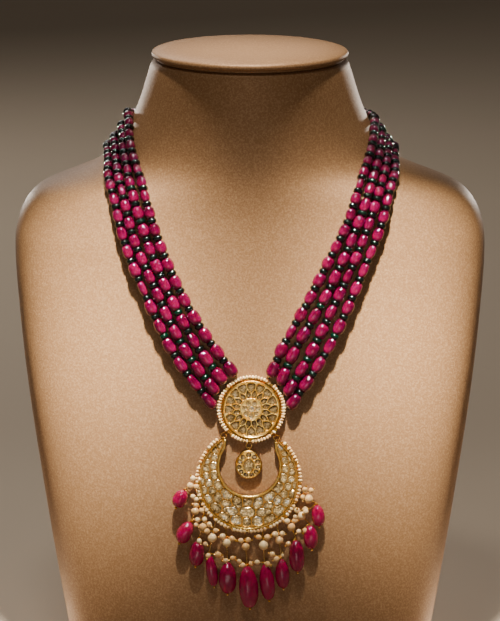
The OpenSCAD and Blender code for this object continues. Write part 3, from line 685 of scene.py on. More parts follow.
def gold_look(name, pendant, worked):
    """Soft yellow gold, paler in soft clouds; worked gold gets painted shade, brown, in its
    hollows below the walls' tops.
    """
    look = Look(name)
    place = look.place()
    height = look.outward(place)
    hammer = look.cells(place, 1.3, "SMOOTH_F1")
    brushed = look.noise(place, 4.0, 4, 0.6)
    cloud = look.noise(place, 0.35, 3)
    body = look.blend(look.step(cloud, 0.35, 0.7), pendant.gold[:], pendant.gold_pale[:])
    if worked:
        # Painted shade: gold that lies lower than the walls' tops, towards the chest, is darkened
        # to the shade colour.
        painted_hollow_shade = 1 - look.step(height, WALL_TOP - 0.9, WALL_TOP - 0.4)
        body = look.blend(painted_hollow_shade * 0.8, body, pendant.gold_shade[:])
    return look.surface(
        Base_Color=body, Metallic=1.0,
        Roughness=look.step(brushed, 0.3, 0.8) * 0.14 + (0.24 if worked else 0.18),
        Normal=look.bump(hammer * 0.8 + brushed * 0.35, 0.3, 0.00006))


def polki_look(pendant):
    """Foiled flat-cut diamond under a clear polished skin: its pale and dark planes and brightest
    patches are painted reflections and glints of the foil, and a painted shadow of the walls
    darkens its girdle.
    """
    look = Look("foiled_polki")
    place = look.place()
    plane = look.node("ShaderNodeSeparateColor", {}, {0: look.cells(place, 0.6, output=1)})
    fine = look.node("ShaderNodeSeparateColor", {}, {0: look.cells(place, 1.5, output=1)})
    tone = look.mark("tone")
    haze = look.noise(place, 0.8, 4, 0.6)
    # Painted reflections: cells and clouds of random tone stand for the foil's dark and pale
    # reflections, the brightest for its glints.
    reflection_pattern = (plane * 0.4 + fine * 0.3 + tone * 0.2 + haze * 0.25).limited()
    body = look.blend(look.step(reflection_pattern, 0.2, 0.72), pendant.polki_dark_reflection_and_shadow[:], pendant.polki[:])
    body = look.blend(look.step(reflection_pattern, 0.72, 0.86), body, pendant.polki_glint[:])
    # Painted shadow of the pocket's wall: the stone's girdle, low in its template, is darkened.
    girdle = 1 - look.step(look.mark("along"), 0.46, 0.58)
    body = look.blend(girdle * 0.6, body, pendant.polki_dark_reflection_and_shadow[:])
    ridge = look.cells(place, 0.7)
    return look.surface(
        Base_Color=body, Metallic=look.step(reflection_pattern, 0.3, 0.9) * 0.3 + 0.6,
        Roughness=look.step(haze, 0.3, 0.8) * 0.1 + 0.16,
        Normal=look.bump(ridge, 0.3, 0.0003), IOR=1.8,
        Coat_Weight=0.4, Coat_Roughness=0.06, Coat_IOR=1.6)


def pearl_look(pendant):
    """Cream pearl with a warm, slightly uneven skin."""
    look = Look("cream_pearl")
    place = look.place()
    tone = look.mark("tone")
    skin = look.noise(place, 0.9, 4, 0.55, 0.4)
    ring = look.noise(look.stretched(place, 1, 1, 3.0), 1.1, 2)
    body = look.blend(look.step(skin * 0.6 + tone * 0.4, 0.3, 0.7), pendant.pearl_deep[:],
                      pendant.pearl[:])
    body = look.blend(look.step(ring, 0.55, 0.8) * 0.4, body, pendant.pearl_lit[:])
    return look.surface(
        Base_Color=body, Roughness=look.step(skin, 0.3, 0.8) * 0.1 + 0.13,
        Normal=look.bump(skin * 0.7 + ring * 0.3, 0.3, 0.00008),
        Subsurface_Weight=0.15, Subsurface_Radius=(1.0, 0.6, 0.4), Subsurface_Scale=0.001,
        Coat_Weight=0.8, Coat_Roughness=0.06)


def thread_look(beads):
    """Dark thread, twisted."""
    look = Look("dark_thread")
    place = look.place()
    twist = look.node("ShaderNodeTexWave", {"bands_direction": "DIAGONAL"},
                      {"Vector": place, "Scale": 2.4, "Distortion": 2.0})
    body = look.blend(twist, beads.thread[:], beads.thread_lit[:])
    return look.surface(Base_Color=body, Roughness=twist * 0.2 + 0.6,
                        Normal=look.bump(twist, 0.6, 0.00005))


def floor_look(stage):
    """Pale matt floor, barely clouded."""
    look = Look("pale_floor")
    place = look.place()
    cloud = look.noise(place, 0.004, 4)
    body = look.blend(cloud, [0.94 * c for c in stage.floor], stage.floor[:])
    return look.surface(Base_Color=body, Roughness=0.75)


# The bust

class NECKLACE_OT_bust(bpy.types.Operator):
    """Covers the bust and its cap in leather"""
    bl_idname = "necklace.bust"
    bl_label = "Bust"

    def execute(self, context):
        bust = context.scene.necklace_bust
        look = leather_look(bust)
        cover = bpy.data.objects.new("bust_cover", NODES["bust"].data.copy())
        context.scene.collection.objects.link(cover)
        with Editing(cover):
            bpy.ops.mesh.remove_doubles(threshold=1e-5)
            bpy.ops.mesh.tris_convert_to_quads(face_threshold=math.radians(50),
                                               shape_threshold=math.radians(50))
        applied(cover, "SUBSURF", levels=2, render_levels=2)
        smooth(cover, 60)
        finished(cover, look, "leather_cover", "bust")
        finished(self.cap(bust), look, "leather_cover", "bust_cap")
        return {"FINISHED"}

    def cap(self, bust):
        """The padded disc on the neck: a flat top with a soft, falling edge."""
        low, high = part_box("bust_cap")
        middle = (low + high) / 2
        radius = (high.x - low.x) / 2
        top, foot = high.z, low.z
        fall = bust.pad_drop
        neck = radius - 0.002
        cap = primitive("circle", "cap_cover", vertices=144, radius=neck, fill_type="NGON",
                        location=(middle.x, middle.y, foot))
        bpy.ops.object.transform_apply(location=True, rotation=False, scale=False)
        edge = [(neck, foot + 0.0007), (radius - 0.0014, foot + 0.0009),
                (radius - 0.0005, foot + 0.0013), (radius - 0.0001, foot + 0.0018),
                (radius, foot + 0.0023), (radius - 0.0002, top - fall)]
        steps = 10
        for i in range(1, steps + 1):
            a = 0.5 * math.pi * i / steps
            edge.append((radius - 0.0002 - 0.0125 * (1 - math.cos(a)),
                         top - fall * (1 - math.sin(a) ** 0.85)))
        edge += [(radius - 0.018, top - 0.00005), (radius * 0.3, top - 0.0002)]
        here = (middle.x, middle.y, 0)
        with Editing(cap):
            reach, level = neck, foot
            for next_reach, next_level in edge:
                rise(next_level - level)
                squeeze(next_reach / reach, here)
                reach, level = next_reach, next_level
            bpy.ops.mesh.poke()
        close_and_face_out(cap)
        smooth(cap, 50)
        return cap


# The strings

def islands(node):
    """Corner points of each loose solid of a node."""
    shape = bmesh.new()
    shape.from_mesh(NODES[node].data)
    bmesh.ops.remove_doubles(shape, verts=shape.verts, dist=2e-6)
    found, seen = [], set()
    for start in shape.verts:
        if start in seen:
            continue
        group, queue = [], [start]
        seen.add(start)
        while queue:
            vertex = queue.pop()
            group.append(vertex.co.copy())
            for edge in vertex.link_edges:
                other = edge.other_vert(vertex)
                if other not in seen:
                    seen.add(other)
                    queue.append(other)
        found.append(group)
    shape.free()
    return found


def middle_of(points):
    low = Vector([min(p[i] for p in points) for i in range(3)])
    high = Vector([max(p[i] for p in points) for i in range(3)])
    return (low + high) / 2


def beads_of(node):
    """Places of a string's beads in order from the medallion: middle, way, length, width."""
    groups = islands(node)
    groups.sort(key=lambda group: middle_of(group).z)
    centres = [sum(group, Vector()) / len(group) for group in groups]
    beads = []
    for i, group in enumerate(groups):
        way = (centres[min(i + 1, len(groups) - 1)] - centres[max(i - 1, 0)]).normalized()
        along = [p.dot(way) for p in group]
        reach = max((p - centres[i] - way * (p - centres[i]).dot(way)).length for p in group)
        beads.append((centres[i], way, max(along) - min(along), 2 * reach))
    return beads


def line_of(node):
    """Middle line of a plain tube node that has a ring of corners at each step."""
    points = {tuple(round(c, 6) for c in v.co) for v in NODES[node].data.vertices}
    points = [Vector(p) for p in points]
    low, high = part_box("bust_cap")
    middle_y = (low.y + high.y) / 2
    points.sort(key=lambda p: abs(math.atan2(p.x, middle_y - p.y)))
    rings = [points[i:i + TUBE_CORNERS] for i in range(0, len(points), TUBE_CORNERS)]
    return [sum(ring, Vector()) / TUBE_CORNERS for ring in rings]


def walked(line, distance):
    """Place and way at a distance along a line of points."""
    for a, b in zip(line, line[1:]):
        span = (b - a).length
        if distance <= span or b is line[-1]:
            break
        distance -= span
    return a + (b - a) * (distance / span), (b - a).normalized()


def bead_template(name, flatness, barrel, pattern, size):
    """A tumbled bead of unit half length, cut flat and drilled at its ends."""
    cut = 0.95
    bead = primitive("uv_sphere", name, segments=20, ring_count=14, radius=1)
    for vertex in bead.data.vertices:
        x, y, z = vertex.co
        belly = (1 - min(abs(z), 1.0) ** barrel) ** 0.5 / max((1 - z * z) ** 0.5, 0.02)
        belly = min(belly, 1.35)
        vertex.co = (x * belly, y * belly * flatness, z)
    roughened(bead, size, 0.2, pattern)
    with Editing(bead) as edit:
        for side in (1, -1):
            bpy.ops.mesh.select_all(action="SELECT")
            bpy.ops.mesh.bisect(plane_co=(0, 0, cut * side), plane_no=(0, 0, side),
                                use_fill=True, clear_outer=True)
        for side in (1, -1):
            edit.choose(lambda at, face: at.z * side > cut - 0.02
                        and face.normal.z * side > 0.9)
            bpy.ops.mesh.inset(thickness=0.07)
            rise(-0.3 * side)
    for vertex in bead.data.vertices:
        vertex.co.z /= cut
    smooth(bead, 55)
    return bead


def bead_templates():
    return [
        bead_template("bead_round", 1.0, 2.5, "ORIGINAL_PERLIN", 0.9),
        bead_template("bead_flat", 0.9, 2.4, "IMPROVED_PERLIN", 1.1),
        bead_template("bead_barrel", 0.96, 3.1, "BLENDER_ORIGINAL", 0.8),
        bead_template("bead_slim", 0.76, 2.3, "VORONOI_F1", 1.3),
    ]


def spacer_template():
    """A fat rondelle, rounded all over, with a hole."""
    spacer = primitive("torus", "spacer", major_radius=0.6, minor_radius=0.4,
                       major_segments=16, minor_segments=10)
    applied(spacer, "CAST", cast_type="CYLINDER", factor=0.12, use_z=False)
    with Editing(spacer):
        bpy.ops.transform.resize(value=(1, 1, 1.25))
    smooth(spacer, 60)
    return spacer


class NECKLACE_OT_strings(bpy.types.Operator):
    """Strings the ruby beads and their dark spacers, in front and behind the neck"""
    bl_idname = "necklace.strings"
    bl_label = "Strings"

    def execute(self, context):
        beads = context.scene.necklace_beads
        ruby = ruby_look("tumbled_ruby", beads.ruby[:], beads.ruby_deep[:],
                         beads.ruby_flaw_and_glow[:], 0.6, 0.0004)
        dark = spacer_look(beads)
        thread = thread_look(beads)
        templates = bead_templates()
        spacer = spacer_template()
        chance = Random(7)
        for side in ("left", "right"):
            for k in (1, 2, 3, 4):
                front, gaps = self.front(f"string_{side}_{k}", templates, chance, beads)
                back, back_gaps = self.behind(f"back_string_{side}_{k}", templates, chance,
                                              beads)
                finished(gathered(f"ruby_{side}_{k}", front, k), ruby, "ruby_bead",
                         f"string_{side}_{k}")
                finished(gathered(f"ruby_back_{side}_{k}", back, k + 9), ruby, "ruby_bead",
                         f"back_string_{side}_{k}")
                half = beads.spacer_w / 2
                stops = [(spacer, pointing(place, way, None, (half * w, half * w, half)))
                         for place, way, w in gaps + back_gaps]
                finished(gathered(f"spacers_{side}_{k}", stops, k + 20), dark, "thread")
                node = NODES[f"thread_{side}_{k}"]
                node.data.materials.clear()
                node.data.materials.append(thread)
        discard(spacer, *templates)
        return {"FINISHED"}

    def front(self, node, templates, chance, beads):
        """Beads and spacers of a string where the solids give each bead."""
        strung = beads_of(node)
        copies, gaps = [], []
        for i, (centre, way, long_w, width) in enumerate(strung):
            copies.append(self.bead(templates, chance, centre, way, long_w, width))
            if i + 1 < len(strung):
                after, after_way, after_long, _ = strung[i + 1]
                a = centre + way * long_w / 2
                b = after - after_way * after_long / 2
                gaps.append(((a + b) / 2, (way + after_way).normalized(),
                             chance.uniform(0.94, 1.06)))
        last = strung[-1]
        half = beads.spacer_gap / 2
        gaps.append((last[0] + last[1] * (last[2] / 2 + half), last[1], 0.98))
        return copies, gaps

    def behind(self, node, templates, chance, beads):
        """Beads and spacers of a string along its plain tube behind the neck."""
        line = line_of(node)
        total = sum((b - a).length for a, b in zip(line, line[1:]))
        count = round(total / BACK_PITCH)
        pitch = total / count
        copies, gaps = [], []
        for i in range(count):
            place, way = walked(line, (i + 0.5) * pitch - BACK_START)
            copies.append(self.bead(templates, chance, place, way,
                                    pitch - beads.spacer_gap, BACK_BEAD_W))
            if i + 1 < count:
                place, way = walked(line, (i + 1) * pitch - BACK_START)
                gaps.append((place, way, chance.uniform(0.92, 1.02)))
        return copies, gaps

    def bead(self, templates, chance, centre, way, long_w, width):
        """A bead along its string, turned at random; the slim kind is the rarest."""
        template = templates[chance.choice((0, 0, 1, 1, 2, 2, 3))]
        turn = Vector((chance.uniform(-1, 1), chance.uniform(-1, 1), chance.uniform(-1, 1)))
        half = width / 2 * chance.uniform(1.06, 1.18)
        return template, pointing(centre, way, turn, (half, half, long_w / 2 + BEAD_END))


# Gold settings and stones

def cut_stone(name, points, height, seed):
    """A flat-cut stone: a girdle, narrow crown facets and an uneven, sunk table.

    The girdle, the crown and the table's sinking are shares of the height, the shoulder
    and the table shares of the outline.
    """
    girdle, crown, sinking = 0.62, 0.33, 0.16
    shoulder, table = 0.84, 0.5
    chance = Random(seed)
    stone = flat_face(name, points)
    with Editing(stone):
        rise(girdle * height)
        rise(crown * height)
        squeeze(shoulder)
        rise(0.01 * height)
        squeeze(table / shoulder)
        bpy.ops.transform.translate(value=(0, 0, -sinking * height))
        bpy.ops.mesh.poke(offset=0.0)
    for vertex in stone.data.vertices:
        if vertex.co.z > 0.7 * height:
            vertex.co.z += chance.uniform(-0.08, 0.05) * height
    with Editing(stone):
        bpy.ops.mesh.quads_convert_to_tris(quad_method="FIXED_ALTERNATE")
    close_and_face_out(stone)
    return stone


def prism(name, points, low, high):
    """A straight-sided solid with the given outline."""
    solid = flat_face(name, points, low)
    with Editing(solid):
        rise(high - low)
    close_and_face_out(solid)
    return solid


def pocket(name, points, floor, top):
    """A solid that cuts a pocket with a bevelled lip."""
    cutter = flat_face(name, points, floor)
    half = sum(math.hypot(x, y) for x, y in points) / len(points)
    with Editing(cutter):
        rise(top - floor - 0.1)
        rise(0.2)
        squeeze(1 + 0.18 / half)
    close_and_face_out(cutter)
    return cutter


def sunk(body, cutters):
    """Sinks the cutters into a body."""
    with Editing(body):
        bpy.ops.mesh.quads_convert_to_tris(quad_method="BEAUTY", ngon_method="BEAUTY")
    applied(body, "BOOLEAN", object=cutters, operation="DIFFERENCE", solver="EXACT")
    discard(cutters)
    smooth(body, 40)


def placed(points, x, y, turn):
    """An outline turned and moved flat to its place."""
    place = spot(x, y, 0, turn)
    return [tuple((place @ Vector((*point, 0)))[:2]) for point in points]


def close_set(stones, wall, reach, room):
    """Outlines grown until a thin wall is left between each and the next.

    room gives how far a point is from the edge of the field.
    """
    cells = []
    for i, stone in enumerate(stones):
        others = [point for j, other in enumerate(stones) if j != i for point in other]
        tree = kdtree.KDTree(len(others))
        for k, (x, y) in enumerate(others):
            tree.insert((x, y, 0), k)
        tree.balance()
        ways, growth = [], []
        for k, (x, y) in enumerate(stone):
            before, after = stone[k - 1], stone[(k + 1) % len(stone)]
            way = Vector((after[1] - before[1], before[0] - after[0], 0)).normalized()
            least, most = -0.4, reach
            for _ in range(7):
                d = (least + most) / 2
                at = Vector((x, y, 0)) + way * d
                if tree.find(at)[2] - d > wall and room(at.x, at.y) > wall / 2:
                    least = d
                else:
                    most = d
            ways.append(way)
            growth.append(least)
        cell = []
        for k, (x, y) in enumerate(stone):
            even = (growth[k - 1] + 2 * growth[k] + growth[(k + 1) % len(stone)]) / 4
            cell.append((x + ways[k].x * even, y + ways[k].y * even))
        cells.append(cell)
    return cells


def set_stones(body, cells, top, floor, seed):
    """Sinks a pocket into the body for each cell, and cuts the stones that fill them."""
    pockets, stones = [], []
    for k, cell in enumerate(cells):
        x = sum(point[0] for point in cell) / len(cell)
        y = sum(point[1] for point in cell) / len(cell)
        here = [(px - x, py - y) for px, py in cell]
        pockets.append((pocket(f"pocket_{k}", here, floor, top), spot(x, y)))
        girdle = [(STONE_FIT * px, STONE_FIT * py) for px, py in here[::2]]
        stone = cut_stone(f"stone_{k}", girdle, top - floor - STONE_SUNK, seed + k)
        stones.append((stone, spot(x, y, floor)))
    sunk(body, gathered("pockets", pockets))
    discard(*(cutter for cutter, _ in pockets))
    return stones


def wall_along(name, path, width, low, high):
    """A low wall of even width, with a rounded top, on the left of an open path."""
    far = []
    for k, (x, y) in enumerate(path):
        before, after = path[max(k - 1, 0)], path[min(k + 1, len(path) - 1)]
        way = Vector((before[1] - after[1], after[0] - before[0])).normalized()
        far.append((x + way.x * width, y + way.y * width))
    wall = prism(name, path + far[::-1], low, high)
    with Editing(wall, "EDGE") as edit:
        edit.choose(lambda at, edge: all(abs(v.co.z - high) < 1e-4 for v in edge.verts))
        bpy.ops.mesh.bevel(offset=width * 0.42, segments=3, affect="EDGES")
    smooth(wall, 50)
    return wall


def cup(name, points, low, high, floor, wall):
    """A thin-walled cell with a rounded lip, open at the top."""
    cell = flat_face(name, points, low)
    with Editing(cell):
        rise(high - low)
        bpy.ops.mesh.inset(thickness=wall)
        rise(floor - high)
    with Editing(cell, "EDGE") as edit:
        edit.choose(lambda at, edge: at.z > high - 1e-4
                    and all(abs(v.co.z - high) < 1e-4 for v in edge.verts)
                    and edge.is_manifold and edge.calc_face_angle(0) > 0.5)
        bpy.ops.mesh.bevel(offset=wall * 0.32, segments=2, affect="EDGES")
    close_and_face_out(cell)
    smooth(cell, 50)
    return cell


def loop_template(name, thickness):
    """A round loop of wire of unit radius, with lapped ends."""
    loop = primitive("torus", name, major_radius=1, minor_radius=thickness,
                     major_segments=20, minor_segments=8)
    for vertex in loop.data.vertices:
        turn = math.atan2(vertex.co.y, vertex.co.x)
        vertex.co.z += thickness * 0.35 * math.sin(turn / 2)
    with Editing(loop):
        bpy.ops.mesh.normals_make_consistent(inside=False)
    smooth(loop, 60)
    return loop


def pin_template():
    """A straight wire of unit length from z 0 to 1, with rounded ends."""
    pin = primitive("cylinder", "pin", vertices=8, radius=1, depth=1, location=(0, 0, 0.5))
    bpy.ops.object.transform_apply(location=True, rotation=False, scale=False)
    with Editing(pin) as edit:
        for side in (1, -1):
            edit.choose(lambda at, face: face.normal.z * side > 0.9)
            rise(0.02 * side)
            squeeze(0.6)
    smooth(pin, 70)
    return pin


def ball_template(name, segments, rings, uneven=0.0, size=0.8):
    """A ball of unit radius, uneven if asked."""
    ball = primitive("uv_sphere", name, segments=segments, ring_count=rings, radius=1)
    if uneven:
        roughened(ball, size, uneven)
    smooth(ball, 80)
    return ball


def from_crescent():
    """Matrix from the crescent's frame to the pendant's, lying flat and turned."""
    return spot(*CRESCENT_AT, 0, CRESCENT_TURN)


def ring_places():
    """Middles of the jump rings in the pendant's frame: left horn, right horn, pear."""
    back = CHEST.inverted()
    places = []
    for node in RING_NODES:
        low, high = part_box(node)
        places.append(back @ ((low + high) / 2))
    return places


class NECKLACE_OT_medallion(bpy.types.Operator):
    """Makes the round medallion: its gold, its flower of stones and its pearl rim"""
    bl_idname = "necklace.medallion"
    bl_label = "Medallion"

    def execute(self, context):
        pendant = context.scene.necklace_pendant
        worked = gold_look("worked_gold", pendant, True)
        here = spot(MEDALLION_X, 0)

        plate = self.plate()
        leaf = outline(4.0, 3.1, PEAR, 32)
        bud = outline(3.7, 1.5, MARQUISE, 28)
        cells = []
        for i in range(LEAVES):
            out = 90 + 360 / LEAVES * i
            cells.append(self.laid(leaf, LEAVES_R, out, 180))
            cells.append(self.laid(bud, BUDS_R, out + 180 / LEAVES, 0))
        cells = close_set(cells, pendant.wall, 0.8, self.room)
        stones = [(stone, here @ place)
                  for stone, place in set_stones(plate, cells, WALL_TOP, POCKET_FLOOR, 11)]
        middle_cup = cup("middle_cup", outline(10.2, 10.2, OVAL, 64), 0.4, 3.5,
                         MIDDLE_FLOOR, 0.42)
        rose = self.rose()
        loop = loop_template("lug_loop", LUG_THICKNESS)
        pin = pin_template()

        gold = [(plate, here), (middle_cup, here)]
        templates = [stone for stone, _ in stones] + [plate, middle_cup, rose, loop, pin]
        stones.append((rose, here @ spot(0, 0, MIDDLE_FLOOR, 12)))
        for ring in ring_places():
            out = Vector((ring.x - MEDALLION_X, ring.y, 0))
            way = out.normalized()
            lug = Vector((ring.x, ring.y, ring.z)) - way * JUMP_RING_R
            across = Vector((-way.y, way.x, 0))
            gold.append((loop, pointing(lug, across, way, LUG_R)))
            foot = Vector((MEDALLION_X, 0, 0.5)) + way * (MEDALLION_R - 0.4)
            gold.append((pin, pointing(foot, way, None, (0.42, 0.3, out.length - 16.5))))
        on_chest("medallion_gold", gold, 3, worked, "gold", "medallion")
        on_chest("medallion_polki", stones, 4, polki_look(pendant), "polki",
                 "medallion_stones")
        discard(*templates)
        self.pearls(pendant, worked)
        return {"FINISHED"}

    def laid(self, points, r, out, turn):
        """An outline laid on a circle, in the direction out and turned, in degrees."""
        at = Matrix.Rotation(math.radians(out), 4, "Z") @ Vector((r, 0, 0))
        return placed(points, at.x, at.y, out + turn)

    def room(self, x, y):
        """Distance from a place in the field to its edges."""
        return min(FIELD[1] - math.hypot(x, y), math.hypot(x, y) - FIELD[0])

    def rose(self):
        """The middle stone: a raised hexagonal facet in a ring of seven round ones."""
        base = cut_stone("rose_base", outline(9.1, 9.1, OVAL, 28), 0.53, 5)
        petal = cut_stone("rose_petal", outline(3.0, 2.5, OVAL, 14), 1.35, 6)
        heart = cut_stone("rose_heart", outline(3.5, 3.3, OVAL, 6), 1.6, 8)
        ring = [(petal, spot(3.0 * math.cos(a), 3.0 * math.sin(a), 0, math.degrees(a)))
                for a in (2 * math.pi * i / 7 for i in range(7))]
        rose = gathered("rose", [(base, Matrix()), (heart, Matrix())] + ring)
        discard(base, petal, heart)
        return rose

    def plate(self):
        """Gold disc with a rolled rim round a sunk field, on a thinner foot."""
        plate = primitive("circle", "plate", vertices=128, radius=MEDALLION_R,
                          fill_type="NGON")
        steps = [(MEDALLION_R, 0.0), (MEDALLION_R, PLATE_T - 0.15),
                 (MEDALLION_R - 0.15, PLATE_T), (13.6, PLATE_T),
                 (13.6, 1.6), (13.3, 1.8), (13.15, 2.7), (13.05, 2.95), (12.85, 3.05),
                 (12.65, 2.95), (12.5, 2.7), (12.4, WALL_TOP)]
        with Editing(plate):
            for (r0, z0), (r1, z1) in zip(steps, steps[1:]):
                rise(z1 - z0)
                if r1 != r0:
                    squeeze(r1 / r0)
        close_and_face_out(plate)
        smooth(plate, 40)
        return plate

    def pearls(self, pendant, gold):
        """Seed pearls on a wire round the rim, parted by the lugs and a few ties."""
        seed = ball_template("seed", 12, 8, 0.05)
        wire = primitive("torus", "rim_wire", major_radius=MEDALLION_WIRE_R,
                         minor_radius=0.17, major_segments=96, minor_segments=6)
        tie = loop_template("tie", 0.26)
        chance = Random(5)
        lugs = [math.atan2(p.y, p.x - MEDALLION_X) for p in ring_places()]
        lug_half = 0.052
        count = round(2 * math.pi * MEDALLION_PEARLS_R / pendant.seed_pitch)
        copies, ties = [], [(wire, spot(MEDALLION_X, 0, MEDALLION_PEARLS_Z))]
        for i in range(count):
            a = 2 * math.pi * (i + 0.5) / count
            near = min(abs(math.remainder(a - lug, 2 * math.pi)) for lug in lugs)
            place = Vector((MEDALLION_X + MEDALLION_PEARLS_R * math.cos(a),
                            MEDALLION_PEARLS_R * math.sin(a), MEDALLION_PEARLS_Z))
            way = Vector((-math.sin(a), math.cos(a), 0))
            if near < lug_half or i % 17 == 9:
                ties.append((tie, pointing(place - Vector((0, 0, 0.35)), way, None, 0.62)))
                continue
            size = chance.uniform(0.93, 1.04)
            sizes = (size, size, pendant.seed_pitch * 0.5 * size)
            copies.append((seed, pointing(place, way, None, sizes)))
        on_chest("medallion_pearls", copies, 6, pearl_look(pendant), "seed_pearl",
                 "medallion_pearl_rim")
        smooth(on_chest("medallion_wire", ties, 7, gold, "gold"), 60)
        discard(seed, wire, tie)


def crescent_edges(r, sides=96):
    """The crescent's outer edge from left to right, and its opening's from right to left."""
    turn = math.asin(HORN_TOP / r)
    outer = []
    for i in range(sides + 1):
        a = math.pi - turn + (math.pi + 2 * turn) * i / sides
        outer.append((r * math.cos(a), r * math.sin(a)))
    start = math.asin(OPENING_SHARE)
    inner = [(HORN_GAP, HORN_TOP)]
    for i in range(sides + 1):
        a = start - (math.pi + 2 * start) * i / sides
        inner.append((OPENING_R * math.cos(a), OPENING_Y + OPENING_R * math.sin(a)))
    inner.append((-HORN_GAP, HORN_TOP))
    return outer, inner


class NECKLACE_OT_crescent(bpy.types.Operator):
    """Makes the crescent: its gold, its field of stones and its pearl rim"""
    bl_idname = "necklace.crescent"
    bl_label = "Crescent"

    def execute(self, context):
        pendant = context.scene.necklace_pendant
        worked = bpy.data.materials["worked_gold"]
        rows = [(row, 1) for row in CRESCENT_MIDDLE]
        rows += [(row, side) for row in CRESCENT_PAIRS for side in (1, -1)]
        cells = []
        for (x, y, long_w, cross_w, turn, shape), side in rows:
            points = outline(long_w, cross_w, shape, 32 if long_w > 3 else 24)
            cells.append(placed(points, side * x, y, turn if side > 0 else 180 - turn))
        cells = close_set(cells, pendant.wall, 0.95, self.room)
        field, foot, walls = self.body()
        here = from_crescent()
        stones = [(stone, here @ place)
                  for stone, place in set_stones(field, cells, WALL_TOP, POCKET_FLOOR, 40)]
        gold = [(part, here) for part in (field, foot, *walls)]
        templates = [stone for stone, _ in stones] + [field, foot, *walls]
        loop = loop_template("horn_loop", LUG_THICKNESS)
        templates.append(loop)
        across = here.to_3x3() @ Vector((1, 0, 0))
        for ring in ring_places()[:2]:
            local = here.inverted() @ ring
            lug = here @ Vector((local.x, local.y - JUMP_RING_R, local.z))
            gold.append((loop, pointing(lug, across, (0, 0, 1), LUG_R)))
        on_chest("crescent_gold", gold, 8, worked, "gold", "crescent")
        on_chest("crescent_polki", stones, 9, bpy.data.materials["foiled_polki"], "polki",
                 "crescent_stones")
        discard(*templates)
        self.pearls(worked)
        return {"FINISHED"}

    def room(self, x, y):
        """Distance from a place to the rims of the field."""
        return min(CRESCENT_R - 0.5 - math.hypot(x, y),
                   math.hypot(x, y - OPENING_Y) - (OPENING_R + 1.1), HORN_TOP - 0.3 - y)

    def body(self):
        """Gold crescent: its field, its foot, and its thin outer and broad inner walls."""
        outer, inner = crescent_edges(CRESCENT_R)
        rim = crescent_edges(CRESCENT_FOOT_R)[0]
        foot = prism("crescent_foot", [*rim, *inner], 0.0, PLATE_T)
        field = prism("crescent_field", [*outer, *inner], 0.2, WALL_TOP)
        walls = [
            wall_along("outer_wall", outer, 0.45, 0.3, 3.05),
            wall_along("inner_wall", inner, 1.15, 0.3, 3.3),
        ]
        smooth(foot, 40)
        return field, foot, walls

    def on_rim(self, a, z=CRESCENT_PEARLS_Z):
        return Vector((CRESCENT_PEARLS_R * math.cos(a), CRESCENT_PEARLS_R * math.sin(a), z))

    def pearls(self, gold):
        """Seed pearls in groups of four or five, tied between by gold wire."""
        seed = ball_template("seed", 14, 9, 0.06)
        tie = loop_template("tie", 0.24)
        bar = pin_template()
        chance = Random(12)
        here = from_crescent()
        top = math.asin(HORN_TOP / 23.4)
        start, end = math.pi - top + 0.03, 2 * math.pi + top - 0.03
        pitch, before_tie, after_tie = 1.6, 0.25, 1.15
        copies, ties = [], []
        a, group = start, 4
        while a < end:
            place = self.on_rim(a)
            way = Vector((-math.sin(a), math.cos(a), 0))
            if group == 0:
                a += before_tie / CRESCENT_PEARLS_R
                place = self.on_rim(a, CRESCENT_PEARLS_Z - 0.3)
                ties.append((tie, here @ pointing(place, way, None, 0.72)))
                a += after_tie / CRESCENT_PEARLS_R
                group = chance.choice((4, 4, 5))
                continue
            size = chance.uniform(0.92, 1.06)
            sizes = (0.95 * size, 0.95 * size, 0.82 * size)
            copies.append((seed, here @ pointing(place, way, None, sizes)))
            a += pitch / CRESCENT_PEARLS_R
            group -= 1
        steps = 60
        for i in range(steps):
            p = self.on_rim(start + (end - start) * i / steps)
            q = self.on_rim(start + (end - start) * (i + 1) / steps)
            sizes = (0.15, 0.15, (q - p).length)
            ties.append((bar, here @ pointing(p, q - p, None, sizes)))
        on_chest("crescent_pearls", copies, 13, bpy.data.materials["cream_pearl"],
                 "seed_pearl", "crescent_pearl_rim")
        on_chest("crescent_wire", ties, 14, gold, "gold")
        discard(seed, tie, bar)


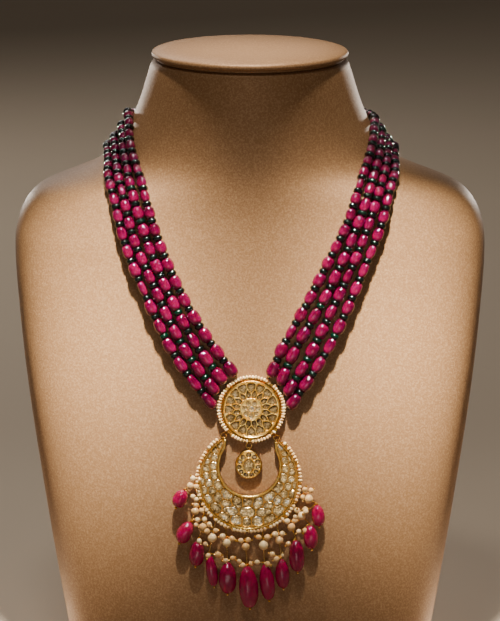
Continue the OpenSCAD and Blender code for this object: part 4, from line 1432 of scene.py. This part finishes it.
class NECKLACE_OT_pear(bpy.types.Operator):
    """Makes the pear drop inside the crescent, and finishes the jump rings"""
    bl_idname = "necklace.pear"
    bl_label = "Pear drop"

    def execute(self, context):
        pendant = context.scene.necklace_pendant
        worked = bpy.data.materials["worked_gold"]
        here = spot(*PEAR_AT)
        body = self.body()
        chips = [placed(outline(1.5, 1.1, CUSHION, 24), x, y, turn)
                 for x, y, turn in PEAR_CHIPS]
        chips = close_set(chips, pendant.wall, 0.6, self.room)
        stones = [(stone, here @ place)
                  for stone, place in set_stones(body, chips, PEAR_TOP, PEAR_FLOOR, 61)]
        cell = cup("pear_cell", outline(7.2, 5.8, PEAR_STONE, 48), 1.0, 3.5, PEAR_STONE_Z,
                   0.42)
        stone = cut_stone("pear_middle", outline(6.4, 5.0, PEAR_STONE, 24), 1.1, 61)
        loop = loop_template("pear_loop", LUG_THICKNESS)
        gold = [(body, here), (cell, here @ spot(0, PEAR_STONE_Y, 0, 90))]
        templates = [chip for chip, _ in stones] + [body, cell, stone, loop]
        stones.append((stone, here @ spot(0, PEAR_STONE_Y, PEAR_STONE_Z, 90)))
        ring = ring_places()[2]
        way = Vector((PEAR_AT[0] - ring.x, PEAR_AT[1] + PEAR_HALF - ring.y, 0)).normalized()
        lug = ring + way * JUMP_RING_R
        gold.append((loop, pointing(lug, (-way.y, way.x, 0), way, LUG_R)))
        on_chest("pear_gold", gold, 15, worked, "gold", "pear_drop")
        on_chest("pear_polki", stones, 16, bpy.data.materials["foiled_polki"], "polki",
                 "pear_stone")
        discard(*templates)
        self.rings(pendant)
        return {"FINISHED"}

    def room(self, x, y):
        """Distance from a place in the border to its rim and to the middle setting."""
        half_w, half_h = 2.9, 3.6
        rim = 5.5 - math.hypot(x, (y + 0.4) * (0.9 if y > -0.4 else 1.0))
        setting = half_w * (math.hypot(x / half_w, (y - PEAR_STONE_Y) / half_h) - 1)
        return min(rim, setting)

    def body(self):
        """Gold pear: rounded edge, raised rim and a slightly domed border."""
        r, sides = 6.2, 44
        points = []
        for i in range(sides + 1):
            a = math.radians(-218 + 256 * i / sides)
            points.append((r * math.cos(a), r - PEAR_HALF + r * math.sin(a)))
        shoulder_x, shoulder_y = points[-1]
        side = []
        for i in range(1, 12):
            t = i / 12
            bow = 0.55 * math.sin(math.pi * t)
            side.append((shoulder_x * (1 - t) + 0.3 * t + bow * 0.7,
                         shoulder_y * (1 - t) + PEAR_HALF * t + bow))
        points += side
        points.append((0, PEAR_HALF + 0.05))
        points += [(-x, y) for x, y in reversed(side)]
        body = flat_face("pear_body", points, 0.0)
        steps = [(0.16, 0.45), (0.3, 0.2), (0.22, -0.05), (0.1, PEAR_TOP - 2.5)]
        with Editing(body):
            rise(1.9)
            for inwards, up in steps:
                bpy.ops.mesh.inset(thickness=inwards)
                bpy.ops.transform.translate(value=(0, 0, up))
        close_and_face_out(body)
        return body

    def rings(self, pendant):
        """The jump rings: round wire with lapped ends."""
        polished = gold_look("polished_gold", pendant, False)
        loop = loop_template("ring_loop", 0.17)
        for node, place in zip(RING_NODES, ring_places()):
            ring = pointing(place, (0, 0, 1), (0, 1, 0), JUMP_RING_R)
            on_chest(f"{node}_wire", [(loop, ring)], 17, polished, "gold", node)
        discard(loop)


# The fringe

class Drop:
    """Places of one ruby drop and its pin, in the pendant's frame."""

    def __init__(self, row):
        foot, share, self.pearl_r, x, y, self.width, self.length, lean, lift = row
        lean = math.radians(lean)
        self.down = Vector((math.sin(lean), -math.cos(lean), 0))
        self.middle = Vector((x, y, self.width / 2 + lift))
        self.top = self.middle - self.down * (self.length / 2 + 0.7)
        a = math.radians(foot)
        self.foot = Vector((CRESCENT_AT[0] + FRINGE_R * math.sin(a),
                            CRESCENT_AT[1] - FRINGE_R * math.cos(a), PLATE_T + 0.6))
        self.way = (self.top - self.foot).normalized()
        self.pearl = self.foot + (self.top - self.foot) * share
        self.hub = self.pearl - self.way * (self.pearl_r + 1.15)
        self.side = self.way.cross(Vector((0, 0, 1))).normalized()


class NECKLACE_OT_fringe(bpy.types.Operator):
    """Hangs the ruby drops on their wires, with clusters of pearls"""
    bl_idname = "necklace.fringe"
    bl_label = "Fringe of drops"

    def execute(self, context):
        beads = context.scene.necklace_beads
        polished = bpy.data.materials["polished_gold"]
        pearl_finish = bpy.data.materials["cream_pearl"]
        ruby = ruby_look("drop_ruby", beads.drop[:], beads.drop_deep[:],
                         beads.drop_flaw_and_glow[:], 0.5, 0.0005)
        self.loop = loop_template("wire_loop", 0.27)
        self.pin = pin_template()
        self.ball = ball_template("gold_ball", 12, 8)
        self.pearl = ball_template("pearl", 20, 14, 0.06, 0.9)
        chance = Random(23)
        wires, pearls = [], []
        for number, (row, cluster) in enumerate(zip(DROPS, CLUSTERS), 1):
            drop = Drop(row)
            self.hang(drop, wires, pearls)
            self.cluster(drop, cluster, wires, pearls, chance)
            stone = self.stone(drop, number)
            finished(stone, ruby, "ruby_drop", f"ruby_drop_{number}")
        on_chest("fringe_wires", wires, 24, polished, "gold", "drop_wires")
        on_chest("fringe_pearls", pearls, 25, pearl_finish, "seed_pearl", "drop_pearls")
        discard(self.loop, self.pin, self.ball, self.pearl)
        return {"FINISHED"}

    def wire(self, wires, a, b, r=PIN_R):
        """A straight wire from a to b."""
        wires.append((self.pin, pointing(a, b - a, None, (r, r, (b - a).length))))

    def hang(self, drop, wires, pearls):
        """The pin of a drop, with its loops, its large pearl and the ball under it."""
        way, side = drop.way, drop.side
        self.wire(wires, drop.foot, drop.top)
        self.wire(wires, drop.top, drop.middle + drop.down * (drop.length / 2 + 0.2))
        wires.append((self.loop, pointing(drop.foot - way * 0.5, side, way, 0.72)))
        knots = [(drop.hub, 0.65, way), (drop.pearl + way * (drop.pearl_r + 0.65), 0.5, way),
                 (drop.top, 0.7, drop.down)]
        for place, r, along in knots:
            wires.append((self.loop, pointing(place, side, along, r)))
        for k in range(3):
            place = drop.top + drop.down * (0.35 - 0.24 * k)
            wires.append((self.loop, pointing(place, drop.down, side, 0.34)))
        wires.append((self.ball, pointing(drop.pearl + way * (drop.pearl_r - 0.05), way, None,
                                          (0.42, 0.42, 0.34))))
        tip = drop.middle + drop.down * (drop.length / 2 + 0.55)
        wires.append((self.ball, pointing(tip, drop.down, None, 0.62)))
        r = drop.pearl_r
        pearls.append((self.pearl, pointing(drop.pearl, way, None, (r, r, r * 0.96))))

    def cluster(self, drop, rows, wires, pearls, chance):
        """Small pearls on headed pins that fan out from the pin's loops."""
        lifts = (1.0, 0.45, 0.8)
        for k, (right, up, r) in enumerate(rows):
            low = up < -2.5
            hub, fall, lift = (drop.top, 0.8, 2.6) if low else (drop.hub, 0.0, 1.2)
            centre = drop.pearl + Vector((right, up - fall, 0))
            centre.z = r + 0.3 + lift * lifts[k % 3]
            way = centre - hub
            way.z *= 0.4
            way.normalize()
            end = centre + way * (r + 0.3)
            self.wire(wires, hub, centre, FINE_PIN_R)
            self.wire(wires, centre, end, FINE_PIN_R)
            turns = hub + (centre - hub) * 0.22
            for _ in range(2):
                across = Vector((chance.uniform(-1, 1), chance.uniform(-1, 1), 0.6))
                wires.append((self.loop, pointing(turns, across, way, 0.46)))
            wires.append((self.ball, pointing(end, way, None, (0.56, 0.56, 0.6))))
            wires.append((self.ball, pointing(centre - way * r, way, None, (0.4, 0.4, 0.3))))
            pearls.append((self.pearl, pointing(centre, way, None, (r * 0.96, r * 0.96, r))))

    def stone(self, drop, number):
        """A ruby drop: pointed at its top, round at its foot, softly uneven."""
        stone = primitive("uv_sphere", f"ruby_drop_{number}_cut", segments=32,
                          ring_count=26, radius=1)
        chance = Random(300 + number)
        phase, ribs = chance.uniform(0, 6), chance.choice((5, 6, 7))
        rise_power, fall_power = 0.5, 0.4
        fullest = rise_power / (rise_power + fall_power)
        for vertex in stone.data.vertices:
            t = (1 + vertex.co.z) / 2
            turn = math.atan2(vertex.co.y, vertex.co.x)
            swell = 0.0
            if 0 < t < 1:
                swell = (t / fullest) ** rise_power * ((1 - t) / (1 - fullest)) ** fall_power
            facet = 1 + 0.022 * math.cos(ribs * turn + phase + 1.2 * t)
            r = drop.width / 2 * swell * facet
            vertex.co = (r * math.cos(turn), r * math.sin(turn), drop.length * (t - 0.5))
        roughened(stone, 2.6 + 0.2 * number, 0.32)
        # along runs from 1 at the drop's top to -1 at its foot, where the ruby finish paints its
        # glow of light passing through.
        marked(stone.data, [chance.random()] * len(stone.data.vertices),
               [-2 * vertex.co.z / drop.length for vertex in stone.data.vertices])
        smooth(stone, 60)
        stone.data.transform(CHEST @ pointing(drop.middle, drop.down, drop.side))
        return stone


# Clasp and stage

class NECKLACE_OT_clasp(bpy.types.Operator):
    """Makes the gold box clasp behind the neck"""
    bl_idname = "necklace.clasp"
    bl_label = "Clasp"

    def execute(self, context):
        polished = bpy.data.materials["polished_gold"]
        points = [v.co for v in NODES["clasp"].data.vertices]
        low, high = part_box("clasp")
        middle = (low + high) / 2
        tops = [p.y for p in points if p.z > middle.z]
        feet = [p.y for p in points if p.z < middle.z]
        lean = math.atan2(sum(feet) / len(feet) - sum(tops) / len(tops),
                          (high.z - low.z) * 0.95)
        place = (Matrix.Translation(middle) @ Matrix.Rotation(lean, 4, "X")
                 @ Matrix.Rotation(math.radians(-90), 4, "X") @ Matrix.Scale(MM, 4))
        box = primitive("cube", "clasp_box", size=1)
        box.data.transform(Matrix.Diagonal((*CLASP, 1)))
        with Editing(box) as edit:
            edit.choose(lambda at, face: face.normal.z > 0.9)
            bpy.ops.mesh.inset(thickness=0.9)
            rise(-0.35)
            bpy.ops.mesh.inset(thickness=0.5)
            rise(0.3)
            bpy.ops.mesh.inset(thickness=0.3)
        applied(box, "BEVEL", width=0.28, segments=3, limit_method="ANGLE")
        smooth(box, 40)
        stud = ball_template("stud", 12, 8)
        loop = loop_template("clasp_loop", 0.3)
        copies = [(box, Matrix())]
        for i in range(4):
            y = (1.5 - i) * CLASP_PITCH
            copies.append((stud, spot(0, y, 1.4) @ Matrix.Diagonal((1.3, 1.3, 0.5, 1))))
            upright = Matrix.Rotation(math.radians(90), 4, "X") @ Matrix.Scale(0.9, 4)
            for side in (-1, 1):
                copies.append((loop, spot(side * (CLASP[0] / 2 - 0.1), y) @ upright))
        clasp = gathered("clasp_gold", copies, 31)
        clasp.data.transform(place)
        finished(clasp, polished, "gold", "clasp")
        discard(box, stud, loop)
        return {"FINISHED"}


class NECKLACE_OT_stage(bpy.types.Operator):
    """Lays the floor and sets the lights and the camera"""
    bl_idname = "necklace.stage"
    bl_label = "Stage"

    def execute(self, context):
        stage = context.scene.necklace_stage
        floor = primitive("plane", "floor", size=14)
        floor.data.materials.append(floor_look(stage))
        self.lamp("key", (-0.1, -0.7, 1.4), (0, 0, 0.14), stage.key, 0.2, LAMP_TINT)
        self.lamp("card", (0, -1.0, 0.15), (0, -0.08, 0.13), stage.card, 0.4, LAMP_TINT)
        for end, side in (("left", -1), ("right", 1)):
            self.beam(f"beam_{end}", (side * 0.02, -0.28, 0.92), (side * 0.095, -0.04, 0.184),
                      stage.beam, 17, 0.34, side * 22)
            self.beam(f"rear_{end}", (side * 0.6, 1.1, 0.3), (0, 0.02, 0.14),
                      stage.rear, 26)
        self.beam("beam_top", (0, 0.0, 1.2), (0, 0.0, 0.3), stage.beam * 0.22, 9)
        self.lamp("back", (-0.5, 1.2, 1.1), (0, 0, 0.2), stage.fill, 0.8, BACK_TINT)
        world = bpy.data.worlds.new("studio")
        world.use_nodes = True
        sky = world.node_tree.nodes["Background"]
        sky.inputs[0].default_value = SKY_TINT
        sky.inputs[1].default_value = 0.06
        context.scene.world = world
        lens = bpy.data.cameras.new("camera")
        lens.lens = stage.lens
        lens.sensor_width = 36
        lens.clip_start, lens.clip_end = 0.05, 40
        camera = bpy.data.objects.new("camera", lens)
        camera.location = CAMERA_AT
        camera.rotation_euler = (math.radians(90 - CAMERA_DIP), 0, 0)
        context.scene.collection.objects.link(camera)
        context.scene.camera = camera
        return {"FINISHED"}

    def lamp(self, name, place, target, power, size, tint):
        """A round soft light."""
        data = bpy.data.lights.new(name, "AREA")
        data.shape = "DISK"
        data.size = size
        self.hung(data, place, target, power, tint)

    def beam(self, name, place, target, power, spread, height=1.0, roll=0.0):
        """A spot light, made flatter by height and turned about its way by roll."""
        data = bpy.data.lights.new(name, "SPOT")
        data.spot_size = math.radians(spread)
        data.spot_blend = 1.0
        data.shadow_soft_size = 0.03
        lamp = self.hung(data, place, target, power, BEAM_TINT)
        turn = lamp.rotation_euler.to_quaternion() @ Quaternion((0, 0, 1), math.radians(roll))
        lamp.rotation_euler = turn.to_euler()
        lamp.scale = (1, height, 1)

    def hung(self, data, place, target, power, tint):
        """Hangs a light at its place, facing its target."""
        data.energy = power
        data.color = tint
        lamp = bpy.data.objects.new(data.name, data)
        lamp.location = place
        way = Vector(target) - Vector(place)
        lamp.rotation_euler = way.to_track_quat("-Z", "Y").to_euler()
        bpy.context.scene.collection.objects.link(lamp)
        return lamp


# The add-on

STEPS = (
    NECKLACE_OT_stage, NECKLACE_OT_bust, NECKLACE_OT_strings, NECKLACE_OT_medallion,
    NECKLACE_OT_crescent, NECKLACE_OT_pear, NECKLACE_OT_fringe, NECKLACE_OT_clasp,
)
GROUPS = {
    "necklace_bust": BustSettings,
    "necklace_beads": BeadSettings,
    "necklace_pendant": PendantSettings,
    "necklace_stage": StageSettings,
}


class NECKLACE_PT_panel(bpy.types.Panel):
    """Lists the steps and their settings"""
    bl_label = "Polki necklace"
    bl_idname = "NECKLACE_PT_panel"
    bl_space_type = "VIEW_3D"
    bl_region_type = "UI"
    bl_category = "Necklace"

    def draw(self, context):
        column = self.layout.column()
        for step in STEPS:
            column.operator(step.bl_idname, text=step.bl_label)
        for name, group in GROUPS.items():
            for key in group.__annotations__:
                column.prop(getattr(context.scene, name), key)


def register():
    for group in GROUPS.values():
        bpy.utils.register_class(group)
    for step in STEPS:
        bpy.utils.register_class(step)
    bpy.utils.register_class(NECKLACE_PT_panel)
    for name, group in GROUPS.items():
        setattr(bpy.types.Scene, name, bpy.props.PointerProperty(type=group))


def unregister():
    for name in GROUPS:
        delattr(bpy.types.Scene, name)
    bpy.utils.unregister_class(NECKLACE_PT_panel)
    for step in reversed(STEPS):
        bpy.utils.unregister_class(step)
    for group in reversed(list(GROUPS.values())):
        bpy.utils.unregister_class(group)


def main():
    register()
    for step in STEPS:
        group, _, action = step.bl_idname.partition(".")
        getattr(getattr(bpy.ops, group), action)()
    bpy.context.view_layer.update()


if __name__ == "__main__":
    main()
